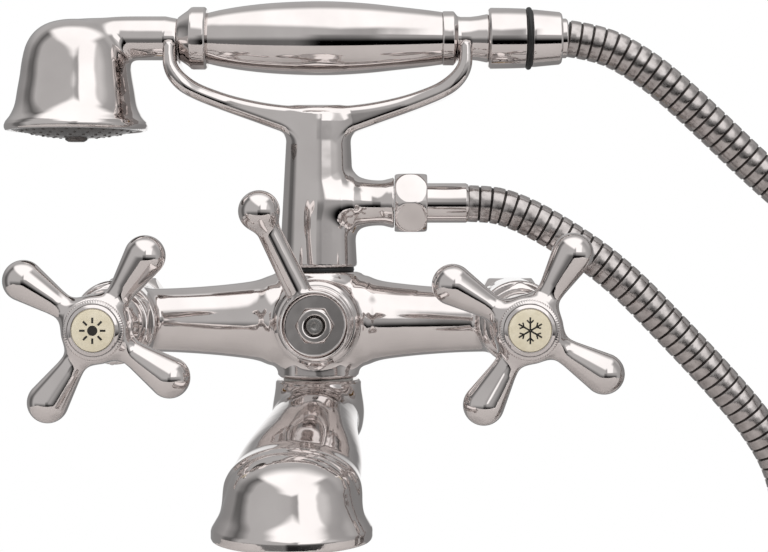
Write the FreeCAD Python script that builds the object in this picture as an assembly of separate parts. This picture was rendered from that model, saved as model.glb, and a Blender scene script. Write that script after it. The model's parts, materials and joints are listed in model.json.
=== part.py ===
import FreeCAD, Part
import os
from math import acos, asin, atan2, cos, degrees, pi, radians, sin, sqrt, tan

# Wall-mounted bath and shower mixer with a telephone handset, in millimetres.
# The origin lies midway between the two wall inlets, on the plane of their union nuts' open faces.
# +X runs to the user's right, +Y into the wall and +Z up.

# Body and wall inlets
INLET_SPACING = 150.0
BODY_TO_WALL = 40.0
ARM_TIP_R = 12.0
ARM_MID_R = 12.6
ARM_ROOT_R = 14.7
ARM_FLARE_R = 17.6
ARM_ROOT_X = 25.0
ARM_FLARE_X = 17.0
BOSS_R = 15.4
BODY_TOP = 18.6
BODY_BOTTOM = -21.7
HOUSING_R = 15.6
HOUSING_FRONT = 17.0
HOUSING_BACK = -18.0
CHANNEL_R = 5.0
INLET_PORT_R = 4.4
INLET_PORT_DEPTH = -9.0

NUT_FLATS = 30.0
NUT_LENGTH = 15.0
NUT_THREAD_R = 12.06
NUT_THREAD_LENGTH = 8.5
NUT_RELIEF_R = 12.6
NUT_FLANGE = 2.0
TAIL_R = 9.5
TAIL_BORE_R = 6.5
TAIL_FLANGE_R = 11.8
TAIL_FLANGE = 2.5
WASHER_BORE_R = 7.2
WALL_WASHER = 1.6
NUT_SLIP = 0.3

# Ceramic valve, measured outward from the body's axis plane
SEAT_FLOOR = -4.0
SEAT_BORE_R = 10.4
SEAL_HEIGHT = 2.0
DISC_R = 7.9
DISC_HEIGHT = 2.7
PORT_INNER_R = 2.2
PORT_OUTER_R = 5.6
PORT_SWEEP = 78.0
HEAD_BARREL_R = 9.2
HEAD_THREAD_START = 7.0
HEX_FLATS = 27.0
HEX_HEIGHT = 7.0
DOME_R = 11.4
DOME_HEIGHT = 7.0
NECK_R = 7.6
NECK_END = 36.0
SPINDLE_FOOT = 5.5
SPINDLE_R = 4.5
SPLINE_R = 4.1
SPLINE_DEPTH = 0.45
SPLINE_TEETH = 20
SPLINE_START = 43.0
SPINDLE_END = 54.0
RUNNING_GAP = 0.06
SPLINE_GAP = 0.08
SEAL_GROOVE = 1.0
SEAL_WIDTH = 2.0
SPINDLE_SEAL_AT = 27.0

# Cross handle
LOBE_PLANE = 55.5
LOBE_CENTRE_R = 30.5
LOBE_R = 7.25
SPOKE_R = 4.1
SPOKE_NECK_AT = 15.5
SPOKE_ROOT_AT = 8.2
HUB_R = 12.2
HUB_BACK = 33.0
HUB_BACK_R = 9.9
HUB_CROWN_R = 10.5
HUB_FACE = 62.6
SKIRT_GAP = 0.9
SKIRT_DEPTH = 8.0
CAP_R = 8.9
CAP_RECESS_FLOOR = 58.0
CAP_PROUD = 1.2
INDEX_R = 7.4
INDEX_THICK = 2.4
INDEX_CROWN = 0.6
SCREW_HEAD_R = 4.4
SCREW_HEAD = 2.6
SCREW_R = 2.1
SCREW_LENGTH = 10.0
HOT_SPOKES = 56.5
COLD_SPOKES = 59.5
QUARTER_TURN = 90.0

# Diverter in the middle of the body
ROTOR_R = 7.5
ROTOR_BACK = -10.5
ROTOR_FRONT = 11.0
ROTOR_PORT_HALF = 5.0
ROTOR_CORE_R = 4.2
GLAND_R = 11.0
GLAND_SEAT = 14.0
GLAND_FACE = 20.5
FLANGE_R = 15.5
FLANGE_HEIGHT = 4.0
GLAND_RING_R = 13.6
GLAND_RING = 3.1
STEM_R = 4.0
STEM_SQUARE = 5.6
STEM_THREAD_R = 2.7
LEVER_HUB_R = 12.9
LEVER_HUB_BACK = 28.0
LEVER_HUB_FRONT = 38.0
LEVER_RECESS_R = 11.4
LEVER_RECESS_FLOOR = 34.2
LEVER_LENGTH = 45.7
LEVER_LEAN = 25.7
LEVER_SWING = 51.4
LEVER_ROOT_R = 4.7
LEVER_NECK_R = 4.0
LEVER_ROOT_DEPTH = 33.4
BALL_R = 7.35
BALL_DEPTH = 38.0
LEVER_NUT_FLATS = 11.0
LEVER_NUT = 4.9
LEVER_NUT_RECESS_R = 4.3
LEVER_NUT_RECESS = 1.8

# Column, cradle and hose outlet
COLUMN_BASE = 20.2
COLUMN_BASE_R = 14.75
COLUMN_TOP_R = 12.3
COLUMN_BORE_R = 6.0
COLUMN_SEAL_R = 13.9
NIPPLE_R = 8.5
NIPPLE_BORE_R = 5.2
NIPPLE_FLOOR = 10.0
NIPPLE_TOP = 31.0
BOW_DROP = 26.2
COLUMN_SHOULDER = 12.3
BOW_RISE = 13.2
BOW_HALF_SPAN = 51.5
BOW_THICK = 7.3
FORK_OUTER_X = 58.1
FORK_INNER_X = 53.2
FORK_DROP = 1.5
FORK_WIDTH = 24.4
BOW_WAIST = 15.0
OUTLET_HEIGHT = 44.5
OUTLET_NECK_R = 8.6
OUTLET_FACE_R = 9.6
OUTLET_FACE_X = 28.7
OUTLET_BORE_R = 5.0
HOSE_THREAD_R = 9.3
HOSE_THREAD_LENGTH = 7.6

# Spout
SPOUT_GAP = 0.6
SPOUT_COLLAR_R = 16.2
SPOUT_COLLAR_BOTTOM = -42.0
SPOUT_REACH = 100.0
SPOUT_TURNED = -2.7
SPOUT_SWING = 30.0
SPOUT_BORE_R = 9.1
SPOUT_BORE_FLOOR = -41.0
SPOUT_CHANNEL_R = 7.5
SPOUT_SOCKET_R = 9.5
SPOUT_SOCKET_TOP = -11.0
SPOUT_NIPPLE_END = -39.0
SPOUT_NIPPLE_BORE_R = 5.5
BELL_CROWN = -36.4
BELL_R = 21.2
BELL_RIM_R = 25.85
BELL_MOUTH = -63.6
BELL_CAVITY_R = 18.8
BELL_CAVITY_TOP = -47.5
GRID_HEIGHT = 3.0
GRUB_R = 2.0

# Handset
HANDSET_HEIGHT = 107.0
HEAD_X = -92.0
HEAD_R = 21.0
HEAD_WAIST_R = 21.9
HEAD_RIM_R = 27.0
HEAD_DROP = 35.2
HEAD_CAVITY_R = 18.0
PIPE_R = 8.35
PIPE_BORE_R = 4.8
PIPE_END_X = -53.2
GROOVE_R = 7.2
TUBE_R = 6.4
PLATE_R = 24.2
PLATE_RECESS = 3.6
PLATE_EDGE = 2.6
PLATE_BULGE = 4.4
NOZZLE_R = 0.85
NOZZLE_RINGS = ((10.5, 8), (17.5, 14))
FRONT_COLLAR_R = 11.9
FRONT_COLLAR_X = -53.0
GRIP_FRONT_X = -42.2
GRIP_REAR_X = 46.9
GRIP_FRONT_R = 9.6
GRIP_MID_R = 14.05
GRIP_REAR_R = 10.05
REAR_COLLAR_R = 10.3
REAR_NECK_R = 8.15
REAR_FLARE_R = 9.3
UNION_X = 64.4
UNION_R = 11.6
UNION_END_X = 78.5
HOSE_SEAL_R = 12.0
HOSE_SEAL_END_X = 81.1
CONE_NUT_END_X = 92.2
CONE_NUT_BASE_R = 10.9
CONE_NUT_END_R = 10.0
HANDSET_LIFT = 60.0
SADDLE_GAP = 0.3

BOW_CROWN = HANDSET_HEIGHT - BOW_DROP
COLUMN_TOP = BOW_CROWN - COLUMN_SHOULDER
FORK_TOP = HANDSET_HEIGHT - FORK_DROP
HEAD_TOP = HANDSET_HEIGHT + PIPE_R
HEAD_MOUTH = HANDSET_HEIGHT - HEAD_DROP
PLATE_SEAT = HEAD_MOUTH + PLATE_RECESS

# Hose and its ends
HOSE_R = 7.0
HOSE_GROOVE_R = 6.2
HOSE_BORE_R = 4.2
RIB_PITCH = 6.4
RIB_START = 0.4
HOSE_NUT_FLATS = 22.0
HOSE_NUT_LENGTH = 12.3
HOSE_WASHER = 1.9
HOSE_FLANGE = 1.5
HOSE_FLANGE_R = 9.2
HOSE_NUT_SHOULDER = 1.5
FERRULE_R = 7.55
LOWER_FERRULE_END_X = 56.9
UPPER_FERRULE_END_X = 94.4
HOSE_SEAT = 1.5
UNION_THREAD_LENGTH = 4.0
TOP_WASHER = 1.2
CONE_NUT_SHOULDER = 2.0
COIL_R = 71.0
COIL_LEFT = 177.0
COIL_AXIS_Z = -98.0
COIL_PITCH = 16.0
COIL_ARC_COUNT = 11
COIL_ARC_DEGREES = 86.5
COIL_RUN = 30.0

CENTRE = FreeCAD.Vector(0, -BODY_TO_WALL, 0)
LEFT = FreeCAD.Vector(-1, 0, 0)
RIGHT = FreeCAD.Vector(1, 0, 0)
OUT = FreeCAD.Vector(0, -1, 0)
WALLWARD = FreeCAD.Vector(0, 1, 0)
UP = FreeCAD.Vector(0, 0, 1)
DOWN = FreeCAD.Vector(0, 0, -1)


def at(x, depth, z):
    """A point given across, outward from the body's axis plane, and up."""
    return FreeCAD.Vector(x, -BODY_TO_WALL - depth, z)


def edges_of(outline):
    """Edges of an outline: pairs joined by lines, and ("arc", middle, end) for an arc."""
    edges = []
    last = FreeCAD.Vector(outline[0][0], 0, outline[0][1])
    for step in list(outline[1:]) + [outline[0]]:
        if step[0] == "arc":
            middle = FreeCAD.Vector(step[1][0], 0, step[1][1])
            end = FreeCAD.Vector(step[2][0], 0, step[2][1])
            edges.append(Part.Arc(last, middle, end).toShape())
        else:
            end = FreeCAD.Vector(step[0], 0, step[1])
            if last.distanceToPoint(end) > 1e-6:
                edges.append(Part.LineSegment(last, end).toShape())
        last = end
    return edges


def stand(shape, base, axis):
    """Move a shape built about +Z so that it starts at base and points along axis."""
    shape.Placement = FreeCAD.Placement(base, FreeCAD.Rotation(UP, axis))
    return shape


def turned(outline, base, axis):
    """Revolve a closed outline of (radius, height) points about the axis through base."""
    face = Part.Face(Part.Wire(edges_of(outline)))
    return stand(face.revolve(FreeCAD.Vector(), UP, 360), base, axis)


def rod(radius, start, end, base, axis):
    return stand(Part.makeCylinder(radius, end - start, FreeCAD.Vector(0, 0, start)), base, axis)


def ring(outer, inner, start, end, base, axis):
    outline = [(inner, start), (outer, start), (outer, end), (inner, end)]
    return turned(outline, base, axis)


def seal_ring(outer, inner, middle, width, base, axis):
    """A rubber ring with round flanks in its groove."""
    low = middle - width / 2
    high = middle + width / 2
    side = width / 4
    outline = [
        (inner + side, low),
        (outer - side, low),
        ("arc", (outer, middle), (outer - side, high)),
        (inner + side, high),
        ("arc", (inner, middle), (inner + side, low)),
    ]
    return turned(outline, base, axis)


def hexagon(flats, start, end, chamfer, base, axis, turn=0.0):
    """A hexagonal bar whose corners are chamfered at both ends."""
    corner = flats / sqrt(3)
    points = [
        FreeCAD.Vector(corner * cos(radians(turn + 60 * i)), corner * sin(radians(turn + 60 * i)), start)
        for i in range(6)
    ]
    bar = Part.Face(Part.makePolygon(points + [points[0]])).extrude(FreeCAD.Vector(0, 0, end - start))
    outline = [
        (0, start),
        (corner - chamfer * sqrt(3), start),
        (corner, start + chamfer),
        (corner, end - chamfer),
        (corner - chamfer * sqrt(3), end),
        (0, end),
    ]
    return stand(bar.common(turned(outline, FreeCAD.Vector(), UP)), base, axis)


def sector(inner, outer, middle, sweep, start, end):
    """A block shaped like part of a ring, about +Z."""
    def point(radius, angle):
        return FreeCAD.Vector(radius * cos(radians(angle)), radius * sin(radians(angle)), start)

    low = middle - sweep / 2
    high = middle + sweep / 2
    edges = [
        Part.Arc(point(outer, low), point(outer, middle), point(outer, high)).toShape(),
        Part.LineSegment(point(outer, high), point(inner, high)).toShape(),
        Part.Arc(point(inner, high), point(inner, middle), point(inner, low)).toShape(),
        Part.LineSegment(point(inner, low), point(outer, low)).toShape(),
    ]
    return Part.Face(Part.Wire(edges)).extrude(FreeCAD.Vector(0, 0, end - start))


def valve_at(side):
    """The point where a valve's axis crosses the body's axis plane: side is -1 hot, +1 cold."""
    return at(side * INLET_SPACING / 2, 0, 0)


def mixer_body():
    half = INLET_SPACING / 2
    arm = [
        (0, 0),
        (ARM_FLARE_R, 0),
        (ARM_FLARE_R, ARM_FLARE_X - 1.5),
        ("arc", (ARM_ROOT_R + 1.1, ARM_FLARE_X + 2.6), (ARM_ROOT_R, ARM_ROOT_X)),
        (ARM_MID_R, half * 0.62),
        (ARM_TIP_R, half - HOUSING_R * 0.8),
        (ARM_TIP_R, half),
        (0, half),
    ]
    boss = [
        (0, BODY_BOTTOM),
        (BOSS_R - 1.4, BODY_BOTTOM),
        (BOSS_R, -ARM_FLARE_R),
        (BOSS_R, BODY_TOP - 2.0),
        (BOSS_R - 1.0, BODY_TOP),
        (0, BODY_TOP),
    ]
    solid = turned(boss, CENTRE, UP)
    solid = solid.fuse(rod(FLANGE_R, 0, GLAND_FACE, CENTRE, OUT))
    housing = [
        (0, HOUSING_BACK),
        (HOUSING_R - 1.5, HOUSING_BACK),
        (HOUSING_R, HOUSING_BACK + 1.5),
        (HOUSING_R, HOUSING_FRONT - 1.0),
        (HOUSING_R - 1.0, HOUSING_FRONT),
        (0, HOUSING_FRONT),
    ]
    for side in (-1, 1):
        solid = solid.fuse(turned(arm, CENTRE, RIGHT if side > 0 else LEFT))
        solid = solid.fuse(turned(housing, valve_at(side), OUT))
    hollows = [
        rod(CHANNEL_R, -half, half, CENTRE, RIGHT),
        rod(ROTOR_R + RUNNING_GAP, ROTOR_BACK - 0.5, GLAND_SEAT, CENTRE, OUT),
        rod(GLAND_R, GLAND_SEAT, GLAND_FACE + 1, CENTRE, OUT),
        rod(NIPPLE_BORE_R, 0, NIPPLE_FLOOR, CENTRE, UP),
        rod(NIPPLE_R, NIPPLE_FLOOR, BODY_TOP + 1, CENTRE, UP),
        rod(SPOUT_NIPPLE_BORE_R, 0, -SPOUT_SOCKET_TOP, CENTRE, DOWN),
        rod(SPOUT_SOCKET_R, -SPOUT_SOCKET_TOP, -BODY_BOTTOM + 1, CENTRE, DOWN),
    ]
    for side in (-1, 1):
        hollows.append(rod(SEAT_BORE_R, SEAT_FLOOR, HOUSING_FRONT + 1, valve_at(side), OUT))
        hollows.append(rod(INLET_PORT_R, INLET_PORT_DEPTH, SEAT_FLOOR, valve_at(side), OUT))
        hollows.append(rod(TAIL_R, HOUSING_BACK - 1, INLET_PORT_DEPTH, valve_at(side), OUT))
    for hollow in hollows:
        solid = solid.cut(hollow)
    return solid.removeSplitter()


def inlet_point(side):
    return FreeCAD.Vector(side * INLET_SPACING / 2, 0, 0)


def union_nut(side):
    """The nut that draws the tap onto its wall fitting; its open face is the sealing plane."""
    nut = hexagon(NUT_FLATS, 0, NUT_LENGTH, 1.2, inlet_point(side), OUT)
    relief_end = NUT_LENGTH - NUT_FLANGE
    nut = nut.cut(rod(NUT_THREAD_R, -1, NUT_THREAD_LENGTH, inlet_point(side), OUT))
    nut = nut.cut(rod(NUT_RELIEF_R, NUT_THREAD_LENGTH, relief_end, inlet_point(side), OUT))
    return nut.cut(rod(TAIL_R + NUT_SLIP, relief_end, NUT_LENGTH + 1, inlet_point(side), OUT))


def inlet_tail(side):
    """The tailpiece, screwed into the housing; its flange carries the union nut."""
    flange_end = NUT_LENGTH - NUT_FLANGE
    inner_end = BODY_TO_WALL + INLET_PORT_DEPTH
    outline = [
        (TAIL_BORE_R, flange_end - TAIL_FLANGE),
        (TAIL_FLANGE_R, flange_end - TAIL_FLANGE),
        (TAIL_FLANGE_R, flange_end),
        (TAIL_R, flange_end),
        (TAIL_R, inner_end),
        (TAIL_BORE_R, inner_end),
    ]
    return turned(outline, inlet_point(side), OUT)


def inlet_washer(side):
    end = NUT_LENGTH - NUT_FLANGE - TAIL_FLANGE
    return ring(TAIL_FLANGE_R, WASHER_BORE_R, end - WALL_WASHER, end, inlet_point(side), OUT)


def seat_seal(side):
    outline = [
        (INLET_PORT_R + 0.4, SEAT_FLOOR),
        (DISC_R, SEAT_FLOOR),
        (DISC_R, SEAT_FLOOR + SEAL_HEIGHT),
        (INLET_PORT_R + 1.4, SEAT_FLOOR + SEAL_HEIGHT),
    ]
    return turned(outline, valve_at(side), OUT)


FIXED_DISC_BACK = SEAT_FLOOR + SEAL_HEIGHT
MOVING_DISC_BACK = FIXED_DISC_BACK + DISC_HEIGHT
FOOT_BACK = MOVING_DISC_BACK + DISC_HEIGHT
FOOT_FRONT = FOOT_BACK + SPINDLE_FOOT


def ceramic_disc(side, back, turn):
    """A lapped disc with two kidney ports; turn sets where they stand."""
    disc = Part.makeCylinder(DISC_R, DISC_HEIGHT, FreeCAD.Vector(0, 0, back))
    for middle in (turn, turn + 180):
        port = sector(PORT_INNER_R, PORT_OUTER_R, middle, PORT_SWEEP, back - 1, back + DISC_HEIGHT + 1)
        disc = disc.cut(port)
    return stand(disc, valve_at(side), OUT)


def headwork(side):
    """The brass headwork: windowed barrel, thread, hexagon, dome and neck."""
    hex_end = HOUSING_FRONT + HEX_HEIGHT
    dome_end = hex_end + DOME_HEIGHT
    outline = [
        (0, FIXED_DISC_BACK),
        (HEAD_BARREL_R, FIXED_DISC_BACK),
        (HEAD_BARREL_R, HEAD_THREAD_START),
        (SEAT_BORE_R, HEAD_THREAD_START + 1.2),
        (SEAT_BORE_R, HOUSING_FRONT),
        (DOME_R, HOUSING_FRONT),
        (DOME_R, hex_end + 0.6),
        ("arc", (DOME_R - 0.9, hex_end + DOME_HEIGHT * 0.6), (NECK_R, dome_end)),
        (NECK_R, NECK_END),
        (0, NECK_END),
    ]
    solid = turned(outline, FreeCAD.Vector(), UP)
    solid = solid.fuse(hexagon(HEX_FLATS, HOUSING_FRONT, hex_end, 1.3, FreeCAD.Vector(), UP, 30))
    solid = solid.cut(Part.makeCylinder(DISC_R + RUNNING_GAP, FOOT_FRONT + 0.5 - FIXED_DISC_BACK,
                                        FreeCAD.Vector(0, 0, FIXED_DISC_BACK)))
    solid = solid.cut(Part.makeCylinder(SPINDLE_R + RUNNING_GAP, NECK_END + 1))
    for middle in (90, 270):
        solid = solid.cut(sector(DISC_R - 1, HEAD_BARREL_R + 1, middle, 90,
                                 FOOT_BACK + 1.0, HEAD_THREAD_START - 0.5))
    return stand(solid, valve_at(side), OUT)


def spline(tip_r, root_r, start, end):
    """A toothed shaft end with straight flanks."""
    points = []
    for i in range(2 * SPLINE_TEETH):
        radius = tip_r if i % 2 == 0 else root_r
        angle = pi * i / SPLINE_TEETH
        points.append(FreeCAD.Vector(radius * cos(angle), radius * sin(angle), start))
    return Part.Face(Part.makePolygon(points + [points[0]])).extrude(FreeCAD.Vector(0, 0, end - start))


def valve_spindle(side):
    groove_low = SPINDLE_SEAL_AT - SEAL_WIDTH / 2
    groove_high = SPINDLE_SEAL_AT + SEAL_WIDTH / 2
    outline = [
        (0, FOOT_BACK),
        (DISC_R, FOOT_BACK),
        (DISC_R, FOOT_FRONT),
        (SPINDLE_R, FOOT_FRONT),
        (SPINDLE_R, groove_low),
        (SPINDLE_R - SEAL_GROOVE, groove_low),
        (SPINDLE_R - SEAL_GROOVE, groove_high),
        (SPINDLE_R, groove_high),
        (SPINDLE_R, SPLINE_START),
        (0, SPLINE_START),
    ]
    solid = turned(outline, FreeCAD.Vector(), UP)
    solid = solid.fuse(spline(SPLINE_R, SPLINE_R - SPLINE_DEPTH, SPLINE_START, SPINDLE_END))
    hole = Part.makeCylinder(SCREW_R, SCREW_LENGTH + 1, FreeCAD.Vector(0, 0, SPINDLE_END - SCREW_LENGTH))
    return stand(solid.cut(hole), valve_at(side), OUT)


def spindle_seal(side):
    return seal_ring(SPINDLE_R, SPINDLE_R - SEAL_GROOVE, SPINDLE_SEAL_AT, SEAL_WIDTH, valve_at(side), OUT)


def cross_spoke(angle):
    """One spoke: a slim neck that swells to a round lobe, lying across the hub."""
    start = SPOKE_ROOT_AT
    lean = asin((LOBE_R - SPOKE_R) / (LOBE_CENTRE_R - SPOKE_NECK_AT))
    shoulder = (LOBE_R * cos(lean), LOBE_CENTRE_R - LOBE_R * sin(lean))
    cap_angle = pi / 4 + lean / 2
    outline = [
        (0, start),
        (SPOKE_R + 2.4, start),
        (SPOKE_R + 0.8, HUB_R + 0.8),
        (SPOKE_R, SPOKE_NECK_AT),
        shoulder,
        ("arc",
         (LOBE_R * sin(cap_angle), LOBE_CENTRE_R + LOBE_R * cos(cap_angle)),
         (0, LOBE_CENTRE_R + LOBE_R)),
    ]
    direction = FreeCAD.Vector(cos(radians(angle)), sin(radians(angle)), 0)
    return turned(outline, FreeCAD.Vector(0, 0, LOBE_PLANE), direction)


def cross_handle(side, first_angle):
    """The cast cross handle: hub with skirt, splined socket, crown and four spokes."""
    outline = [
        (0, HUB_BACK),
        (HUB_BACK_R, HUB_BACK),
        ("arc", (HUB_BACK_R + 0.5, HUB_BACK + 8), (HUB_R, LOBE_PLANE - 8)),
        (HUB_R, HUB_FACE - 1.6),
        (HUB_CROWN_R, HUB_FACE - 1.6),
        (HUB_CROWN_R, HUB_FACE - 0.5),
        (HUB_CROWN_R - 0.6, HUB_FACE),
        (0, HUB_FACE),
    ]
    solid = turned(outline, FreeCAD.Vector(), UP)
    solid = solid.multiFuse([cross_spoke(first_angle + 90 * i) for i in range(4)])
    skirt = Part.makeCylinder(NECK_R + SKIRT_GAP, SKIRT_DEPTH, FreeCAD.Vector(0, 0, HUB_BACK))
    socket = spline(SPLINE_R + SPLINE_GAP, SPLINE_R - SPLINE_DEPTH + SPLINE_GAP, SPLINE_START - 0.5,
                    SPINDLE_END + 0.3)
    shaft_way = Part.makeCylinder(SPINDLE_R + SPLINE_GAP, SPLINE_START - HUB_BACK + 0.5,
                                  FreeCAD.Vector(0, 0, HUB_BACK))
    screw_way = Part.makeCylinder(SCREW_R + 0.3, 6, FreeCAD.Vector(0, 0, SPINDLE_END))
    recess = Part.makeCylinder(CAP_R, HUB_FACE, FreeCAD.Vector(0, 0, CAP_RECESS_FLOOR))
    head_way = Part.makeCylinder(SCREW_HEAD_R + 0.3, 10, FreeCAD.Vector(0, 0, CAP_RECESS_FLOOR - SCREW_HEAD))
    for hollow in (skirt, shaft_way, socket, screw_way, recess, head_way):
        solid = solid.cut(hollow)
    return stand(solid, valve_at(side), OUT)


def handle_screw(side):
    """The pan-head screw under the index that holds the handle on its spindle."""
    head_back = CAP_RECESS_FLOOR - SCREW_HEAD
    outline = [
        (0, SPINDLE_END - SCREW_LENGTH),
        (SCREW_R, SPINDLE_END - SCREW_LENGTH),
        (SCREW_R, head_back),
        (SCREW_HEAD_R, head_back),
        (SCREW_HEAD_R, head_back + SCREW_HEAD * 0.6),
        ("arc", (SCREW_HEAD_R * 0.8, head_back + SCREW_HEAD * 0.88), (SCREW_HEAD_R * 0.4, head_back + SCREW_HEAD)),
        (0, head_back + SCREW_HEAD),
    ]
    screw = turned(outline, FreeCAD.Vector(), UP)
    slot = Part.makeBox(2 * SCREW_HEAD_R, 1.0, 1.4,
                        FreeCAD.Vector(-SCREW_HEAD_R, -0.5, CAP_RECESS_FLOOR - 1.3))
    return stand(screw.cut(slot), valve_at(side), OUT)


INDEX_BACK = HUB_FACE + CAP_PROUD - INDEX_THICK


def index_cap(side):
    """The chromed cap ring that screws into the crown and holds the index."""
    face = HUB_FACE + CAP_PROUD
    outline = [
        (INDEX_R - 1.2, CAP_RECESS_FLOOR),
        (CAP_R, CAP_RECESS_FLOOR),
        (CAP_R, face - 0.9),
        (CAP_R - 0.7, face - 0.1),
        (INDEX_R + 0.15, face - 0.1),
        (INDEX_R + 0.15, INDEX_BACK),
        (INDEX_R - 1.2, INDEX_BACK),
    ]
    return turned(outline, valve_at(side), OUT)


def index_disc(side):
    """The glazed porcelain index, slightly crowned."""
    rim = HUB_FACE + CAP_PROUD
    outline = [
        (0, INDEX_BACK),
        (INDEX_R, INDEX_BACK),
        (INDEX_R, rim - 0.2),
        ("arc", (INDEX_R * 0.7, rim + INDEX_CROWN * 0.6), (INDEX_R * 0.3, rim + INDEX_CROWN)),
        (0, rim + INDEX_CROWN),
    ]
    return turned(outline, valve_at(side), OUT)


def diverter_gland():
    """The threaded gland that closes the diverter chamber, with its stepped face."""
    ring_face = GLAND_FACE + FLANGE_HEIGHT + GLAND_RING
    outline = [
        (STEM_R + RUNNING_GAP, GLAND_SEAT),
        (GLAND_R, GLAND_SEAT),
        (GLAND_R, GLAND_FACE),
        (FLANGE_R, GLAND_FACE),
        ("arc", (FLANGE_R - 0.5, GLAND_FACE + FLANGE_HEIGHT * 0.75),
         (FLANGE_R - 1.6, GLAND_FACE + FLANGE_HEIGHT)),
        (GLAND_RING_R, GLAND_FACE + FLANGE_HEIGHT),
        (GLAND_RING_R, ring_face - 0.6),
        (GLAND_RING_R - 0.6, ring_face),
        (STEM_R + RUNNING_GAP, ring_face),
    ]
    return turned(outline, CENTRE, OUT)


DIVERTER_SEALS_AT = (GLAND_SEAT + 3.0, GLAND_SEAT + 8.0)


def diverter_spindle():
    """The rotor that opens either the spout's way or the column's, with its stem."""
    outline = [(0, ROTOR_BACK), (ROTOR_R, ROTOR_BACK), (ROTOR_R, ROTOR_FRONT), (STEM_R, ROTOR_FRONT)]
    for middle in DIVERTER_SEALS_AT:
        low = middle - SEAL_WIDTH / 2
        high = middle + SEAL_WIDTH / 2
        outline += [(STEM_R, low), (STEM_R - SEAL_GROOVE, low), (STEM_R - SEAL_GROOVE, high), (STEM_R, high)]
    thread_end = LEVER_RECESS_FLOOR + LEVER_NUT - LEVER_NUT_RECESS + 0.6
    outline += [
        (STEM_R, LEVER_HUB_BACK),
        (STEM_THREAD_R, LEVER_HUB_BACK),
        (STEM_THREAD_R, thread_end),
        (0, thread_end),
    ]
    solid = turned(outline, FreeCAD.Vector(), UP)
    square = Part.makeBox(STEM_SQUARE, STEM_SQUARE, LEVER_RECESS_FLOOR - LEVER_HUB_BACK - 0.2,
                          FreeCAD.Vector(-STEM_SQUARE / 2, -STEM_SQUARE / 2, LEVER_HUB_BACK))
    solid = solid.fuse(square)
    port = sector(ROTOR_CORE_R, ROTOR_R + 1, 90, 200, -ROTOR_PORT_HALF, ROTOR_PORT_HALF)
    return stand(solid.cut(port), CENTRE, OUT)


def diverter_seals():
    rings = [
        seal_ring(STEM_R, STEM_R - SEAL_GROOVE, middle, SEAL_WIDTH, CENTRE, OUT)
        for middle in DIVERTER_SEALS_AT
    ]
    return Part.makeCompound(rings)


def diverter_lever():
    """Hub with a dished face, and an arm that ends in a ball."""
    hub = [
        (0, LEVER_HUB_BACK),
        (LEVER_HUB_R - 0.5, LEVER_HUB_BACK),
        (LEVER_HUB_R, LEVER_HUB_BACK + 0.6),
        (LEVER_HUB_R, LEVER_HUB_FRONT - 0.8),
        ("arc", (LEVER_HUB_R - 0.25, LEVER_HUB_FRONT - 0.2), (LEVER_HUB_R - 0.8, LEVER_HUB_FRONT)),
        (LEVER_RECESS_R, LEVER_HUB_FRONT),
        (LEVER_RECESS_R - 0.4, LEVER_RECESS_FLOOR),
        (0, LEVER_RECESS_FLOOR),
    ]
    solid = turned(hub, FreeCAD.Vector(), UP)
    lean = radians(90 + LEVER_LEAN)
    ball = FreeCAD.Vector(LEVER_LENGTH * cos(lean), LEVER_LENGTH * sin(lean), BALL_DEPTH)
    root = FreeCAD.Vector(0, 0, LEVER_ROOT_DEPTH)
    reach = ball.distanceToPoint(root)
    neck_at = reach - BALL_R - 5.0
    blend = asin(LEVER_NECK_R / BALL_R) * 0.9
    arm = [
        (0, LEVER_RECESS_R + 0.5),
        (LEVER_ROOT_R, LEVER_RECESS_R + 0.5),
        (LEVER_NECK_R, neck_at),
        ("arc", (LEVER_NECK_R + 0.45, neck_at + 3.6), (BALL_R * sin(blend * 1.25), reach - BALL_R * cos(blend * 1.25))),
        ("arc", (BALL_R, reach), (0, reach + BALL_R)),
    ]
    solid = solid.fuse(turned(arm, root, ball - root))
    side = STEM_SQUARE + 2 * SPLINE_GAP
    hole = Part.makeBox(side, side, 20, FreeCAD.Vector(-side / 2, -side / 2, LEVER_HUB_BACK - 1))
    return stand(solid.cut(hole), CENTRE, OUT)


def diverter_nut():
    """The small nut with a sunk face that holds the lever on its stem."""
    start = LEVER_RECESS_FLOOR
    end = start + LEVER_NUT
    nut = hexagon(LEVER_NUT_FLATS, start, end, 0.5, CENTRE, OUT, 0)
    nut = nut.cut(rod(STEM_THREAD_R, start - 1, end + 1, CENTRE, OUT))
    return nut.cut(rod(LEVER_NUT_RECESS_R, end - LEVER_NUT_RECESS, end + 1, CENTRE, OUT))


def column_nipple():
    outline = [
        (NIPPLE_BORE_R, NIPPLE_FLOOR),
        (NIPPLE_R, NIPPLE_FLOOR),
        (NIPPLE_R, NIPPLE_TOP),
        (NIPPLE_BORE_R, NIPPLE_TOP),
    ]
    return turned(outline, CENTRE, UP)


def column_seal():
    return ring(COLUMN_SEAL_R, NIPPLE_R + 0.1, BODY_TOP, COLUMN_BASE, CENTRE, UP)


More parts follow.
